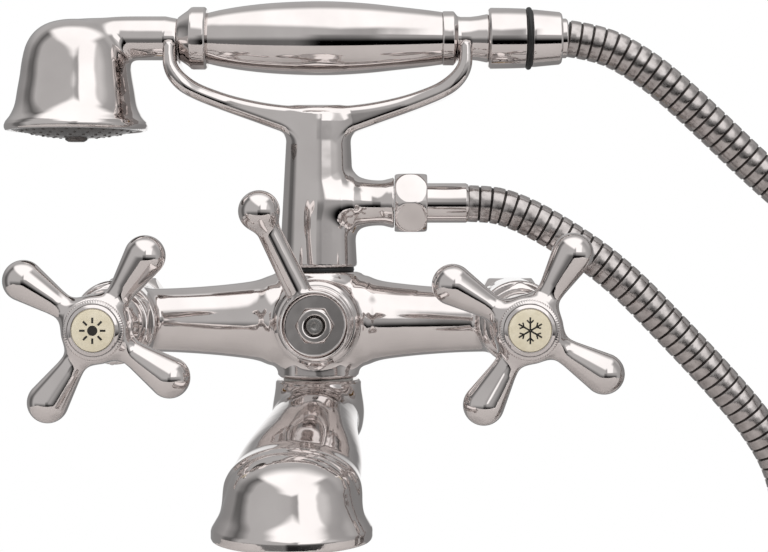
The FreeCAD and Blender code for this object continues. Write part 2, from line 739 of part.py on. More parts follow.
def bow_outline():
    """The cradle's bow seen from the front: a shallow sling between two forks."""
    rise_x = (FORK_OUTER_X + FORK_INNER_X) / 2
    prong_r = (FORK_OUTER_X - FORK_INNER_X) / 2
    under = BOW_CROWN - BOW_THICK
    slope_x = 36.5
    slope_z = under + 5.9
    shoulder_z = FORK_TOP - prong_r
    edges = []

    def p(x, z):
        return FreeCAD.Vector(x, 0, z)

    edges.append(Part.Arc(p(-BOW_HALF_SPAN, BOW_CROWN + BOW_RISE), p(0, BOW_CROWN),
                          p(BOW_HALF_SPAN, BOW_CROWN + BOW_RISE)).toShape())
    for side in (1, -1):
        inner_low = p(side * BOW_HALF_SPAN, BOW_CROWN + BOW_RISE)
        inner_turn = p(side * FORK_INNER_X, BOW_CROWN + BOW_RISE + 3.2)
        inner_top = p(side * FORK_INNER_X, shoulder_z)
        outer_top = p(side * FORK_OUTER_X, shoulder_z)
        outer_low = p(side * FORK_OUTER_X, under + 24.0)
        slope = p(side * slope_x, slope_z)
        root = p(side * (COLUMN_TOP_R - 1.0), under - 3.2)
        bend = p(side * (FORK_INNER_X - 0.6), BOW_CROWN + BOW_RISE + 1.4)
        edges.append(Part.Arc(inner_low, bend, inner_turn).toShape())
        edges.append(Part.LineSegment(inner_turn, inner_top).toShape())
        edges.append(Part.Arc(inner_top, p(side * rise_x, FORK_TOP), outer_top).toShape())
        edges.append(Part.LineSegment(outer_top, outer_low).toShape())
        edges.append(Part.Arc(outer_low, p(side * (FORK_OUTER_X - 5.0), under + 14.6), slope).toShape())
        edges.append(Part.LineSegment(slope, root).toShape())
    edges.append(Part.LineSegment(p(COLUMN_TOP_R - 1.0, under - 3.2),
                                  p(-COLUMN_TOP_R + 1.0, under - 3.2)).toShape())
    return Part.Wire(Part.__sortEdges__(edges))


def bow_plan():
    """The bow seen from above: full at the column, waisted along the arms, wide at the forks."""
    def p(x, y):
        return FreeCAD.Vector(x, y, 0)

    waist = BOW_WAIST / 2
    fork = FORK_WIDTH / 2
    edges = []
    for side in (1, -1):
        for back in (1, -1):
            a = p(0, back * COLUMN_TOP_R)
            b = p(side * COLUMN_TOP_R * 0.8, back * COLUMN_TOP_R * 0.9)
            c = p(side * 20, back * waist)
            d = p(side * 36, back * waist)
            e = p(side * (FORK_INNER_X - 2), back * fork)
            f = p(side * (FORK_OUTER_X + 1), back * fork)
            edges.append(Part.LineSegment(a, b).toShape())
            edges.append(Part.LineSegment(b, c).toShape())
            edges.append(Part.LineSegment(c, d).toShape())
            edges.append(Part.LineSegment(d, e).toShape())
            edges.append(Part.LineSegment(e, f).toShape())
        edges.append(Part.LineSegment(p(side * (FORK_OUTER_X + 1), fork),
                                      p(side * (FORK_OUTER_X + 1), -fork)).toShape())
    return Part.Wire(Part.__sortEdges__(edges))


def column_cradle():
    """One casting: column, hose outlet, bow and the two forks that hold the handset."""
    bow = Part.Face(bow_outline()).extrude(FreeCAD.Vector(0, FORK_WIDTH, 0))
    bow.translate(FreeCAD.Vector(0, -FORK_WIDTH / 2, 0))
    plan = Part.Face(bow_plan()).extrude(FreeCAD.Vector(0, 0, FORK_TOP))
    bow = bow.common(plan)
    bow.translate(CENTRE)
    column = [
        (0, COLUMN_BASE),
        (COLUMN_BASE_R - 0.8, COLUMN_BASE),
        (COLUMN_BASE_R, COLUMN_BASE + 0.8),
        (COLUMN_TOP_R, COLUMN_TOP),
        (COLUMN_TOP_R, BOW_CROWN - 3.5),
        (COLUMN_TOP_R - 5.5, BOW_CROWN - 0.3),
        (0, BOW_CROWN - 0.3),
    ]
    outlet = [
        (0, 0),
        (OUTLET_NECK_R + 3.0, 0),
        (OUTLET_NECK_R + 3.0, COLUMN_TOP_R - 1.0),
        ("arc", (OUTLET_NECK_R + 0.6, COLUMN_TOP_R + 2.0), (OUTLET_NECK_R, COLUMN_TOP_R + 6.0)),
        (OUTLET_NECK_R, COLUMN_TOP_R + 10.0),
        (OUTLET_FACE_R, OUTLET_FACE_X - 2.0),
        (OUTLET_FACE_R, OUTLET_FACE_X),
        (HOSE_THREAD_R, OUTLET_FACE_X),
        (HOSE_THREAD_R, OUTLET_FACE_X + HOSE_THREAD_LENGTH),
        (0, OUTLET_FACE_X + HOSE_THREAD_LENGTH),
    ]
    outlet_base = at(0, 0, OUTLET_HEIGHT)
    solid = turned(column, CENTRE, UP).fuse(turned(outlet, outlet_base, RIGHT)).fuse(bow)
    handset_line = at(0, 0, HANDSET_HEIGHT)
    hollows = [
        rod(COLUMN_BORE_R, COLUMN_BASE, OUTLET_HEIGHT + OUTLET_BORE_R, CENTRE, UP),
        rod(NIPPLE_R, COLUMN_BASE - 1, NIPPLE_TOP, CENTRE, UP),
        rod(OUTLET_BORE_R, 0, OUTLET_FACE_X + HOSE_THREAD_LENGTH + 1, outlet_base, RIGHT),
    ]
    for axis, radius in ((LEFT, PIPE_R + SADDLE_GAP), (RIGHT, REAR_NECK_R + SADDLE_GAP)):
        hollows.append(rod(radius, FORK_INNER_X - 5, FORK_OUTER_X + 5, handset_line, axis))
        slot = Part.makeBox(FORK_OUTER_X - FORK_INNER_X + 10, 2 * radius, 20)
        start = FORK_INNER_X - 5 if axis.x > 0 else -FORK_OUTER_X - 5
        slot.translate(FreeCAD.Vector(start, -BODY_TO_WALL - radius, HANDSET_HEIGHT))
        hollows.append(slot)
    for hollow in hollows:
        solid = solid.cut(hollow)
    return solid.removeSplitter()


def spout_nipple():
    """The swivel nipple: screwed into the body, with two sealing grooves and a keeper groove."""
    outline = [
        (SPOUT_NIPPLE_BORE_R, -SPOUT_SOCKET_TOP),
        (SPOUT_SOCKET_R, -SPOUT_SOCKET_TOP),
        (SPOUT_SOCKET_R, -BODY_BOTTOM),
        (SPOUT_BORE_R - RUNNING_GAP, -BODY_BOTTOM),
    ]
    for middle in SPOUT_SEALS_AT + (KEEPER_AT,):
        low = middle - SEAL_WIDTH / 2
        high = middle + SEAL_WIDTH / 2
        groove_r = SPOUT_BORE_R - RUNNING_GAP - SEAL_GROOVE * 1.3
        outline += [(SPOUT_BORE_R - RUNNING_GAP, low), (groove_r, low), (groove_r, high),
                    (SPOUT_BORE_R - RUNNING_GAP, high)]
    outline += [(SPOUT_BORE_R - RUNNING_GAP, -SPOUT_NIPPLE_END), (SPOUT_NIPPLE_BORE_R, -SPOUT_NIPPLE_END)]
    return turned(outline, CENTRE, DOWN)


SPOUT_SEALS_AT = (-BODY_BOTTOM + 3.4, -BODY_BOTTOM + 13.4)
KEEPER_AT = -BODY_BOTTOM + 8.4


def spout_seals():
    outer = SPOUT_BORE_R - RUNNING_GAP
    rings = [
        seal_ring(outer, outer - SEAL_GROOVE * 1.3, middle, SEAL_WIDTH, CENTRE, DOWN)
        for middle in SPOUT_SEALS_AT
    ]
    return Part.makeCompound(rings)


def spout_joint_ring():
    return ring(BOSS_R - 2.2, SPOUT_BORE_R, -BODY_BOTTOM, -BODY_BOTTOM + SPOUT_GAP, CENTRE, DOWN)


def ellipse_wire(half_x, half_z, depth, z):
    """An upright ellipse across the spout's arm."""
    curve = Part.Ellipse(FreeCAD.Vector(), half_x, half_z)
    wire = Part.Wire(curve.toShape())
    wire.Placement = FreeCAD.Placement(at(0, depth, z), FreeCAD.Rotation(RIGHT, 90))
    return wire


def turn_spout(shape):
    shape.rotate(CENTRE, UP, SPOUT_TURNED)
    return shape


def spout():
    """The cast spout: swivel collar, swelling arm and bell mouth."""
    collar_top = BODY_BOTTOM - SPOUT_GAP
    collar = [
        (0, SPOUT_COLLAR_BOTTOM - 5),
        (SPOUT_COLLAR_R - 6, SPOUT_COLLAR_BOTTOM - 5),
        ("arc", (SPOUT_COLLAR_R - 1.6, SPOUT_COLLAR_BOTTOM - 2.6), (SPOUT_COLLAR_R, SPOUT_COLLAR_BOTTOM + 2)),
        (SPOUT_COLLAR_R, collar_top - 0.8),
        (SPOUT_COLLAR_R - 0.8, collar_top),
        (0, collar_top),
    ]
    solid = turned(collar, CENTRE, UP)
    sections = [
        ellipse_wire(15.8, 12.0, 0, -35.0),
        ellipse_wire(17.2, 12.6, 30, -38.0),
        ellipse_wire(19.8, 12.8, 65, -44.2),
        ellipse_wire(21.1, 12.2, SPOUT_REACH, -49.8),
    ]
    solid = solid.fuse(Part.makeLoft(sections, True, False))
    bell_base = at(0, SPOUT_REACH, 0)
    bell = [
        (0, BELL_MOUTH),
        (BELL_RIM_R - 1.6, BELL_MOUTH),
        ("arc", (BELL_RIM_R - 0.2, BELL_MOUTH + 0.9), (BELL_RIM_R - 0.1, BELL_MOUTH + 2.6)),
        ("arc", (BELL_R + 1.2, BELL_MOUTH + 8.6), (BELL_R, BELL_MOUTH + 17.0)),
        ("arc", (BELL_R * 0.8, BELL_CROWN - 3.2), (0, BELL_CROWN)),
    ]
    solid = solid.fuse(turned(bell, bell_base, UP))
    cavity = [
        (0, BELL_MOUTH - 1),
        (BELL_RIM_R - 3.0, BELL_MOUTH - 1),
        (BELL_CAVITY_R, BELL_MOUTH + 7.0),
        (BELL_CAVITY_R, BELL_CAVITY_TOP),
        (0, BELL_CAVITY_TOP),
    ]
    channel_start = at(0, 0, SPOUT_BORE_FLOOR + 4.0)
    channel_end = at(0, SPOUT_REACH, BELL_CAVITY_TOP - 4.0)
    channel = rod(SPOUT_CHANNEL_R, 0, channel_start.distanceToPoint(channel_end), channel_start,
                  channel_end - channel_start)
    grub = rod(GRUB_R, SPOUT_BORE_R - 1, SPOUT_COLLAR_R + 1, at(0, 0, -KEEPER_AT), WALLWARD)
    bore = rod(SPOUT_BORE_R, -BODY_BOTTOM, -SPOUT_BORE_FLOOR, CENTRE, DOWN)
    for hollow in (bore, turned(cavity, bell_base, UP), channel, grub):
        solid = solid.cut(hollow)
    return turn_spout(solid.removeSplitter())


def spout_grub_screw():
    """The screw at the spout's back whose tip runs in the nipple's keeper groove."""
    tip = SPOUT_BORE_R - RUNNING_GAP - 1.0
    screw = rod(GRUB_R, SPOUT_BORE_R, SPOUT_COLLAR_R - 0.6, at(0, 0, -KEEPER_AT), WALLWARD)
    screw = screw.fuse(rod(0.8, tip, SPOUT_BORE_R, at(0, 0, -KEEPER_AT), WALLWARD))
    return turn_spout(screw)


def spout_straightener():
    """The slotted insert in the bell that calms the water."""
    insert = Part.makeCylinder(BELL_CAVITY_R, GRID_HEIGHT)
    for i in range(6):
        insert = insert.cut(sector(7.5, BELL_CAVITY_R - 2.0, 60 * i, 46, -1, GRID_HEIGHT + 1))
        insert = insert.cut(sector(2.0, 5.5, 60 * i + 30, 40, -1, GRID_HEIGHT + 1))
    insert.translate(at(0, SPOUT_REACH, BELL_CAVITY_TOP - GRID_HEIGHT))
    return turn_spout(insert)


def handset_point(x):
    return at(x, 0, HANDSET_HEIGHT)


def handset_head():
    """The bell-shaped spray head with its pipe."""
    bell_base = at(HEAD_X, 0, 0)
    bell = [
        (0, HEAD_MOUTH),
        (HEAD_RIM_R - 1.4, HEAD_MOUTH),
        ("arc", (HEAD_RIM_R, HEAD_MOUTH + 1.2), (HEAD_RIM_R - 0.5, HEAD_MOUTH + 3.0)),
        ("arc", (HEAD_WAIST_R + 1.4, HEAD_MOUTH + 8.2), (HEAD_WAIST_R, HEAD_MOUTH + 15.5)),
        (HEAD_R, HEAD_MOUTH + 25.0),
        ("arc", (HEAD_R * 0.74, HEAD_TOP - 4.9), (HEAD_R * 0.2, HEAD_TOP)),
        (0, HEAD_TOP),
    ]
    solid = turned(bell, bell_base, UP)
    pipe_length = PIPE_END_X - HEAD_X
    pipe = [
        (0, 0),
        (PIPE_R, 0),
        (PIPE_R, pipe_length - 4.8),
        (GROOVE_R, pipe_length - 0.6),
        (GROOVE_R, pipe_length + 0.2),
        (TUBE_R, pipe_length + 0.2),
        (TUBE_R, pipe_length + 8.0),
        (0, pipe_length + 8.0),
    ]
    solid = solid.fuse(turned(pipe, handset_point(HEAD_X), RIGHT))
    cavity = [
        (0, PLATE_SEAT),
        (HEAD_CAVITY_R, PLATE_SEAT),
        (HEAD_CAVITY_R, PLATE_SEAT + 14.0),
        ("arc", (HEAD_CAVITY_R * 0.85, PLATE_SEAT + 25.0), (HEAD_CAVITY_R * 0.3, PLATE_SEAT + 31.0)),
        (0, PLATE_SEAT + 31.0),
    ]
    mouth = rod(PLATE_R + 0.1, HEAD_MOUTH - 1, PLATE_SEAT, bell_base, UP)
    bore = rod(PIPE_BORE_R, 0, pipe_length + 9, handset_point(HEAD_X), RIGHT)
    for hollow in (turned(cavity, bell_base, UP), mouth, bore):
        solid = solid.cut(hollow)
    return solid.removeSplitter()


def spray_plate():
    """The domed spray face with its rings of nozzles and a boss for the screw."""
    edge = PLATE_SEAT - PLATE_EDGE
    outline = [
        (2.2, PLATE_SEAT),
        (PLATE_R, PLATE_SEAT),
        (PLATE_R, edge),
        ("arc", (PLATE_R * 0.62, edge - PLATE_BULGE * 0.42), (6.0, edge - PLATE_BULGE * 0.8)),
        (2.2, edge - PLATE_BULGE * 0.8),
    ]
    plate = turned(outline, FreeCAD.Vector(), UP)
    for radius, count in NOZZLE_RINGS:
        for i in range(count):
            angle = 2 * pi * i / count
            centre = FreeCAD.Vector(radius * cos(angle), radius * sin(angle), edge - PLATE_BULGE - 1)
            plate = plate.cut(Part.makeCylinder(NOZZLE_R, PLATE_EDGE + PLATE_BULGE + 3, centre))
    plate.translate(at(HEAD_X, 0, 0))
    return plate


def spray_screw():
    top = PLATE_SEAT + 2.0
    face = PLATE_SEAT - PLATE_EDGE - PLATE_BULGE * 0.8
    outline = [
        (0, face - 1.6),
        ("arc", (2.6, face - 1.2), (4.2, face)),
        (2.1, face),
        (2.1, top),
        (0, top),
    ]
    screw = turned(outline, FreeCAD.Vector(), UP)
    slot = Part.makeBox(10, 0.9, 1.0, FreeCAD.Vector(-5, -0.45, face - 1.8))
    screw = screw.cut(slot)
    screw.translate(at(HEAD_X, 0, 0))
    return screw


def front_collar():
    """The turned collar between the pipe and the grip."""
    start = FRONT_COLLAR_X
    end = GRIP_FRONT_X
    outline = [
        (TUBE_R, start),
        (GROOVE_R + 1.0, start),
        ("arc", (GROOVE_R + 2.0, start + 1.4), (FRONT_COLLAR_R - 1.0, start + 4.6)),
        (FRONT_COLLAR_R, start + 5.4),
        (FRONT_COLLAR_R, end - 0.8),
        (FRONT_COLLAR_R - 0.8, end),
        (TUBE_R, end),
    ]
    return turned(outline, handset_point(0), RIGHT)


def grip():
    """The barrel-shaped grip sleeve."""
    middle = (GRIP_FRONT_X + GRIP_REAR_X) / 2 - 2.0
    outline = [
        (TUBE_R + 0.6, GRIP_FRONT_X),
        (GRIP_FRONT_R, GRIP_FRONT_X),
        ("arc", (GRIP_MID_R - 1.0, middle - 22), (GRIP_MID_R, middle)),
        ("arc", (GRIP_MID_R - 0.9, middle + 23), (GRIP_REAR_R, GRIP_REAR_X)),
        (TUBE_R + 0.6, GRIP_REAR_X),
    ]
    return turned(outline, handset_point(0), RIGHT)


def handset_tube():
    """The brass tube inside the grip that ties head and union together."""
    start = PIPE_END_X + 8.0
    outline = [
        (PIPE_BORE_R, start),
        (TUBE_R, start),
        (TUBE_R, UNION_X + 4.0),
        (PIPE_BORE_R, UNION_X + 4.0),
    ]
    return turned(outline, handset_point(0), RIGHT)


def rear_collar():
    """Ring, waist and flare behind the grip; the waist lies in the rear fork."""
    start = GRIP_REAR_X
    outline = [
        (TUBE_R, start),
        (REAR_COLLAR_R, start),
        (REAR_COLLAR_R, start + 4.7),
        (REAR_NECK_R, start + 6.1),
        (REAR_NECK_R, start + 10.7),
        ("arc", (REAR_NECK_R + 0.3, start + 13.6), (REAR_FLARE_R, UNION_X)),
        (TUBE_R, UNION_X),
    ]
    return turned(outline, handset_point(0), RIGHT)


WASHER_X = UNION_END_X + UNION_THREAD_LENGTH


def handset_union():
    """The connector at the grip's end, with the thread for the hose nut."""
    outline = [
        (TUBE_R, UNION_X),
        (UNION_R - 0.9, UNION_X),
        (UNION_R, UNION_X + 0.9),
        (UNION_R - 0.4, UNION_END_X),
        (HOSE_THREAD_R, UNION_END_X),
        (HOSE_THREAD_R, WASHER_X),
        (PIPE_BORE_R, WASHER_X),
        (PIPE_BORE_R, UNION_X + 4.0),
        (TUBE_R, UNION_X + 4.0),
    ]
    return turned(outline, handset_point(0), RIGHT)


def hose_seal():
    middle = (UNION_END_X + HOSE_SEAL_END_X) / 2
    return seal_ring(HOSE_SEAL_R, HOSE_THREAD_R, middle, HOSE_SEAL_END_X - UNION_END_X, handset_point(0), RIGHT)


def cone_nut():
    """The conical nut at the handset's end of the hose."""
    shoulder = CONE_NUT_END_X - CONE_NUT_SHOULDER
    outline = [
        (HOSE_THREAD_R, HOSE_SEAL_END_X),
        (CONE_NUT_BASE_R, HOSE_SEAL_END_X),
        (CONE_NUT_BASE_R, HOSE_SEAL_END_X + 1.2),
        (CONE_NUT_END_R, CONE_NUT_END_X - 1.0),
        (CONE_NUT_END_R - 1.0, CONE_NUT_END_X),
        (FERRULE_R + 0.1, CONE_NUT_END_X),
        (FERRULE_R + 0.1, shoulder),
        (HOSE_THREAD_R, shoulder),
    ]
    return turned(outline, handset_point(0), RIGHT)


def hose_top_washer():
    return ring(HOSE_FLANGE_R, PIPE_BORE_R, WASHER_X, WASHER_X + TOP_WASHER, handset_point(0), RIGHT)


def hose_sleeve(start, shoulder, end, hose_seat, base):
    """A hose end: a flange for the nut and a sleeve over the hose, which reaches back to hose_seat."""
    outline = [
        (HOSE_BORE_R, start),
        (HOSE_FLANGE_R, start),
        (HOSE_FLANGE_R, shoulder),
        (FERRULE_R, shoulder),
        (FERRULE_R, end - 0.6),
        (FERRULE_R - 0.6, end),
    ]
    if hose_seat < end:
        outline += [(HOSE_GROOVE_R, end), (HOSE_GROOVE_R, hose_seat)]
    outline.append((HOSE_BORE_R, hose_seat))
    return turned(outline, base, RIGHT)


def hose_top_ferrule():
    start = WASHER_X + TOP_WASHER
    shoulder = CONE_NUT_END_X - CONE_NUT_SHOULDER
    return hose_sleeve(start, shoulder, UPPER_FERRULE_END_X, UPPER_FERRULE_END_X, handset_point(0))


OUTLET_WASHER_X = OUTLET_FACE_X + HOSE_THREAD_LENGTH


def outlet_point():
    return at(0, 0, OUTLET_HEIGHT)


def hose_nut():
    """The hexagon nut that ties the hose to the column's outlet."""
    start = OUTLET_FACE_X + 0.2
    end = start + HOSE_NUT_LENGTH
    nut = hexagon(HOSE_NUT_FLATS, start, end, 1.3, outlet_point(), RIGHT, HOSE_NUT_TURN)
    nut = nut.cut(rod(HOSE_THREAD_R, start - 1, end - HOSE_NUT_SHOULDER, outlet_point(), RIGHT))
    return nut.cut(rod(FERRULE_R + 0.1, start, end + 1, outlet_point(), RIGHT))


HOSE_NUT_TURN = 30.0
LOWER_SEAT_X = OUTLET_WASHER_X + HOSE_WASHER


def outlet_washer():
    return ring(HOSE_FLANGE_R, OUTLET_BORE_R, OUTLET_WASHER_X, OUTLET_WASHER_X + HOSE_WASHER,
                outlet_point(), RIGHT)


def hose_ferrule():
    shoulder = OUTLET_FACE_X + 0.2 + HOSE_NUT_LENGTH - HOSE_NUT_SHOULDER
    seat = LOWER_SEAT_X + HOSE_SEAT
    return hose_sleeve(LOWER_SEAT_X, shoulder, LOWER_FERRULE_END_X, seat, outlet_point())


# The hose's free stretches: points chosen along the photographed line, as (across, outward, up).
LOWER_ROUTE = [
    (LOWER_SEAT_X + HOSE_SEAT, 0, OUTLET_HEIGHT),
    (67.2, 0, OUTLET_HEIGHT),
    (87.8, 0, 35.6),
    (112.4, 0, 19.2),
    (135.8, 0, -4.8),
    (151.5, 0, -21.7),
    (164.9, 0, -38.3),
    (COIL_LEFT, 0, COIL_AXIS_Z + COIL_RUN),
    (COIL_LEFT, 0, COIL_AXIS_Z),
]
UPPER_ROUTE = [
    (WASHER_X + TOP_WASHER + HOSE_SEAT, 0, HANDSET_HEIGHT),
    (110.0, 0, HANDSET_HEIGHT),
    (131.5, 0, 94.8),
    (146.3, 0, 75.6),
    (168, 0, 55.6),
    (188, 4, 38.0),
    (208, 14, 21.3),
    (229, 26.5, 3.9),
    (250, 37, -9),
]


def rounded(vectors):
    """Straight runs joined by tangent arcs as large as the runs allow, and the arcs' radii."""
    edges = []
    radii = []
    last = vectors[0]
    for before, corner, after in zip(vectors, vectors[1:], vectors[2:]):
        a = (before - corner).normalize()
        b = (after - corner).normalize()
        half_turn = (pi - a.getAngle(b)) / 2
        trim = 0.45 * min(corner.distanceToPoint(before), corner.distanceToPoint(after))
        radius = trim / tan(half_turn)
        radii.append(round(radius, 1))
        start = corner + a * trim
        end = corner + b * trim
        to_centre = (a + b).normalize()
        middle = corner + to_centre * (radius / cos(half_turn) - radius)
        edges.append(Part.LineSegment(last, start).toShape())
        edges.append(Part.Arc(start, middle, end).toShape())
        last = end
    edges.append(Part.LineSegment(last, vectors[-1]).toShape())
    return edges, radii


def along(edges, distance):
    """The point and direction at a distance along a chain of edges."""
    for edge in edges:
        if distance <= edge.Length + 1e-6:
            parameter = edge.getParameterByLength(min(distance, edge.Length))
            return edge.valueAt(parameter), edge.tangentAt(parameter)
        distance -= edge.Length
    raise ValueError("past the end of the route")


def circle_on(edges, distance, radius):
    """A circle across the route whose start point stays on the outward side."""
    point, direction = along(edges, distance)
    across = OUT - direction * OUT.dot(direction)
    rotation = FreeCAD.Rotation(across, FreeCAD.Vector(), direction, "ZXY")
    wire = Part.Wire(Part.makeCircle(radius))
    wire.Placement = FreeCAD.Placement(point, rotation)
    return wire


def ribbed_hose(name, vectors, start, sleeve):
    """A free stretch of the wound metal hose: ribs as a ruled loft, with its bore.

    The node begins at a distance along its route, and is plain as far as its sleeve's end.
    """
    edges, radii = rounded(vectors)
    length = sum(e.Length for e in edges)
    first = max(start, sleeve) + RIB_START
    count = int((length - first - RIB_START) / RIB_PITCH)
    pitch = (length - first - RIB_START) / count
    outer = [circle_on(edges, start, HOSE_GROOVE_R)]
    for i in range(count):
        foot = first + i * pitch
        for share, radius in ((0.0, HOSE_GROOVE_R), (0.14, HOSE_R), (0.8, HOSE_R), (0.9, HOSE_GROOVE_R)):
            outer.append(circle_on(edges, foot + share * pitch, radius))
    outer.append(circle_on(edges, length, HOSE_GROOVE_R))
    steps = count // 3
    inner = [
        circle_on(edges, start + (length - start) * i / steps, HOSE_BORE_R)
        for i in range(steps + 1)
    ]
    hose = Part.makeLoft(outer, True, True).cut(Part.makeLoft(inner, True, True))
    print(name, "length", round(length, 1), "ribs", count, "radii", radii)
    return hose


def coil_points():
    """Points and directions along the coil: a steady helix about an axis that points outward."""
    centre = at(COIL_LEFT + COIL_R, 0, COIL_AXIS_Z)
    slope = COIL_PITCH / (2 * pi * COIL_R)
    stations = []
    for i in range(COIL_ARC_COUNT + 1):
        turn = radians(COIL_ARC_DEGREES * i)
        heading = turn - pi / 2
        rise = COIL_PITCH * turn / (2 * pi)
        if i == 0:
            slope_here = 0.0
        else:
            slope_here = slope
        point = centre + FreeCAD.Vector(COIL_R * sin(heading), -rise, -COIL_R * cos(heading))
        direction = FreeCAD.Vector(cos(heading), -slope_here, sin(heading)).normalize()
        stations.append((point, direction))
    return stations


def arc_from(start, direction, end):
    """The arc that leaves start along a direction and passes through end."""
    chord = end - start
    bulge = direction - chord * (direction.dot(chord) / chord.dot(chord))
    bulge.normalize()
    angle = direction.getAngle(chord)
    middle = (start + end) * 0.5 + bulge * (chord.Length / 2 * tan(angle / 2))
    return Part.Arc(start, middle, end).toShape()


def biarc(start, start_direction, end, end_direction):
    """Two tangent arcs between two points with given directions."""
    chord = end - start
    both = start_direction + end_direction
    spread = 2 * (1 - start_direction.dot(end_direction))
    reach = (-chord.dot(both) + sqrt(chord.dot(both) ** 2 + spread * chord.dot(chord))) / spread
    joint = (start + end + (start_direction - end_direction) * reach) * 0.5
    first = arc_from(start, start_direction, joint)
    second = arc_from(end, end_direction * -1, joint)
    return [first, second]


def main():
    parts = {
        "mixer_body": mixer_body(),
        "diverter_gland": diverter_gland(),
        "diverter_spindle": diverter_spindle(),
        "diverter_seals": diverter_seals(),
        "diverter_lever": diverter_lever(),
        "diverter_nut": diverter_nut(),
        "column_nipple": column_nipple(),
        "column_seal": column_seal(),
        "column_cradle": column_cradle(),
        "spout_nipple": spout_nipple(),
        "spout_seals": spout_seals(),
        "spout_joint_ring": spout_joint_ring(),
        "spout": spout(),
        "spout_grub_screw": spout_grub_screw(),
        "spout_straightener": spout_straightener(),
        "handset_head": handset_head(),
        "spray_plate": spray_plate(),
        "spray_screw": spray_screw(),
        "front_collar": front_collar(),
        "grip": grip(),
        "handset_tube": handset_tube(),
        "rear_collar": rear_collar(),
        "handset_union": handset_union(),
        "hose_seal": hose_seal(),
        "cone_nut": cone_nut(),
        "hose_top_washer": hose_top_washer(),
        "hose_top_ferrule": hose_top_ferrule(),
        "hose_nut": hose_nut(),
        "outlet_washer": outlet_washer(),
        "hose_ferrule": hose_ferrule(),
        "hose_lower": hose_lower(),
        "hose_coil": hose_coil(),
        "hose_upper": hose_upper(),
    }
    for name, side, spokes in (("hot", -1, HOT_SPOKES), ("cold", 1, COLD_SPOKES)):
        parts[name + "_union_nut"] = union_nut(side)
        parts[name + "_inlet_tail"] = inlet_tail(side)
        parts[name + "_inlet_washer"] = inlet_washer(side)
        parts[name + "_seat_seal"] = seat_seal(side)
        parts[name + "_fixed_disc"] = ceramic_disc(side, FIXED_DISC_BACK, 0)
        parts[name + "_moving_disc"] = ceramic_disc(side, MOVING_DISC_BACK, 90)
        parts[name + "_headwork"] = headwork(side)
        parts[name + "_spindle"] = valve_spindle(side)
        parts[name + "_spindle_seal"] = spindle_seal(side)
        parts[name + "_handle"] = cross_handle(side, spokes)
        parts[name + "_handle_screw"] = handle_screw(side)
        parts[name + "_index_cap"] = index_cap(side)
        parts[name + "_index"] = index_disc(side)
    os.makedirs("parts", exist_ok=True)
    for name, shape in parts.items():
        print(name, "solids", len(shape.Solids), "valid", shape.isValid(), "volume", round(shape.Volume, 1))
        shape.exportStep("parts/" + name + ".step")
    print(len(parts), "nodes")


def coil_gap(edges):
    """The least gap between the coil's turns, measured on points along it."""
    length = sum(e.Length for e in edges)
    step = 4.0
    points = [along(edges, step * i)[0] for i in range(int(length / step))]
    apart = int(pi * COIL_R / step)
    least = min(
        points[i].distanceToPoint(points[j])
        for i in range(len(points))
        for j in range(i + apart, len(points))
    )
    return least - 2 * HOSE_R


def hose_lower():
    vectors = [at(*p) for p in LOWER_ROUTE]
    return ribbed_hose("hose_lower", vectors, 0, LOWER_FERRULE_END_X - vectors[0].x)


def hose_upper():
    """The stretch from the handset's ferrule to the coil.

    It ends along the coil's own direction, so that the two meet squarely. Its route starts inside
    the ferrule, but the node starts at the ferrule's face, because the ferrule lifts off with the handset.
    """
    exit_point, exit_direction = coil_points()[-1]
    vectors = [at(*p) for p in UPPER_ROUTE]
    vectors += [exit_point + exit_direction * COIL_RUN, exit_point]
    sleeve = UPPER_FERRULE_END_X - vectors[0].x
    return ribbed_hose("hose_upper", vectors, sleeve, sleeve)


def hose_coil():
    """The put-away length: one unbroken tube from the lower stretch to the upper one."""
    stations = coil_points()
    edges = []
    for (start, start_direction), (end, end_direction) in zip(stations, stations[1:]):
        edges += biarc(start, start_direction, end, end_direction)
    path = Part.Wire(edges)
    profile = Part.Wire(Part.makeCircle(HOSE_GROOVE_R, stations[0][0], stations[0][1]))
    shell = Part.BRepOffsetAPI.MakePipeShell(path)
    shell.add(profile)
    shell.build()
    shell.makeSolid()
    solid = shell.shape()
    length = sum(e.Length for e in edges)
    expected = pi * HOSE_GROOVE_R ** 2 * length
    print("hose_coil length", round(length, 1), "volume over section times length",
          round(solid.Volume / expected, 4), "least gap", round(coil_gap(edges), 2))
    print("radii", [round(e.Curve.Radius, 1) for e in edges])
    return solid


main()
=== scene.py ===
# %% [markdown]
# # A bath and shower mixer in polished chrome
#
# This scene dresses the construction model of a wall-mounted mixer tap. The construction model
# holds every working piece at its real size. The scene gives those pieces the smooth castings,
# turned edges and finishes that make chrome look like chrome, and lights them like a catalogue.
#
# The order is: frame, camera, hose, castings, turned pieces, finishes, studio.

# %% Frame
import json
from math import acos, cos, pi, radians, sin, sqrt, tan

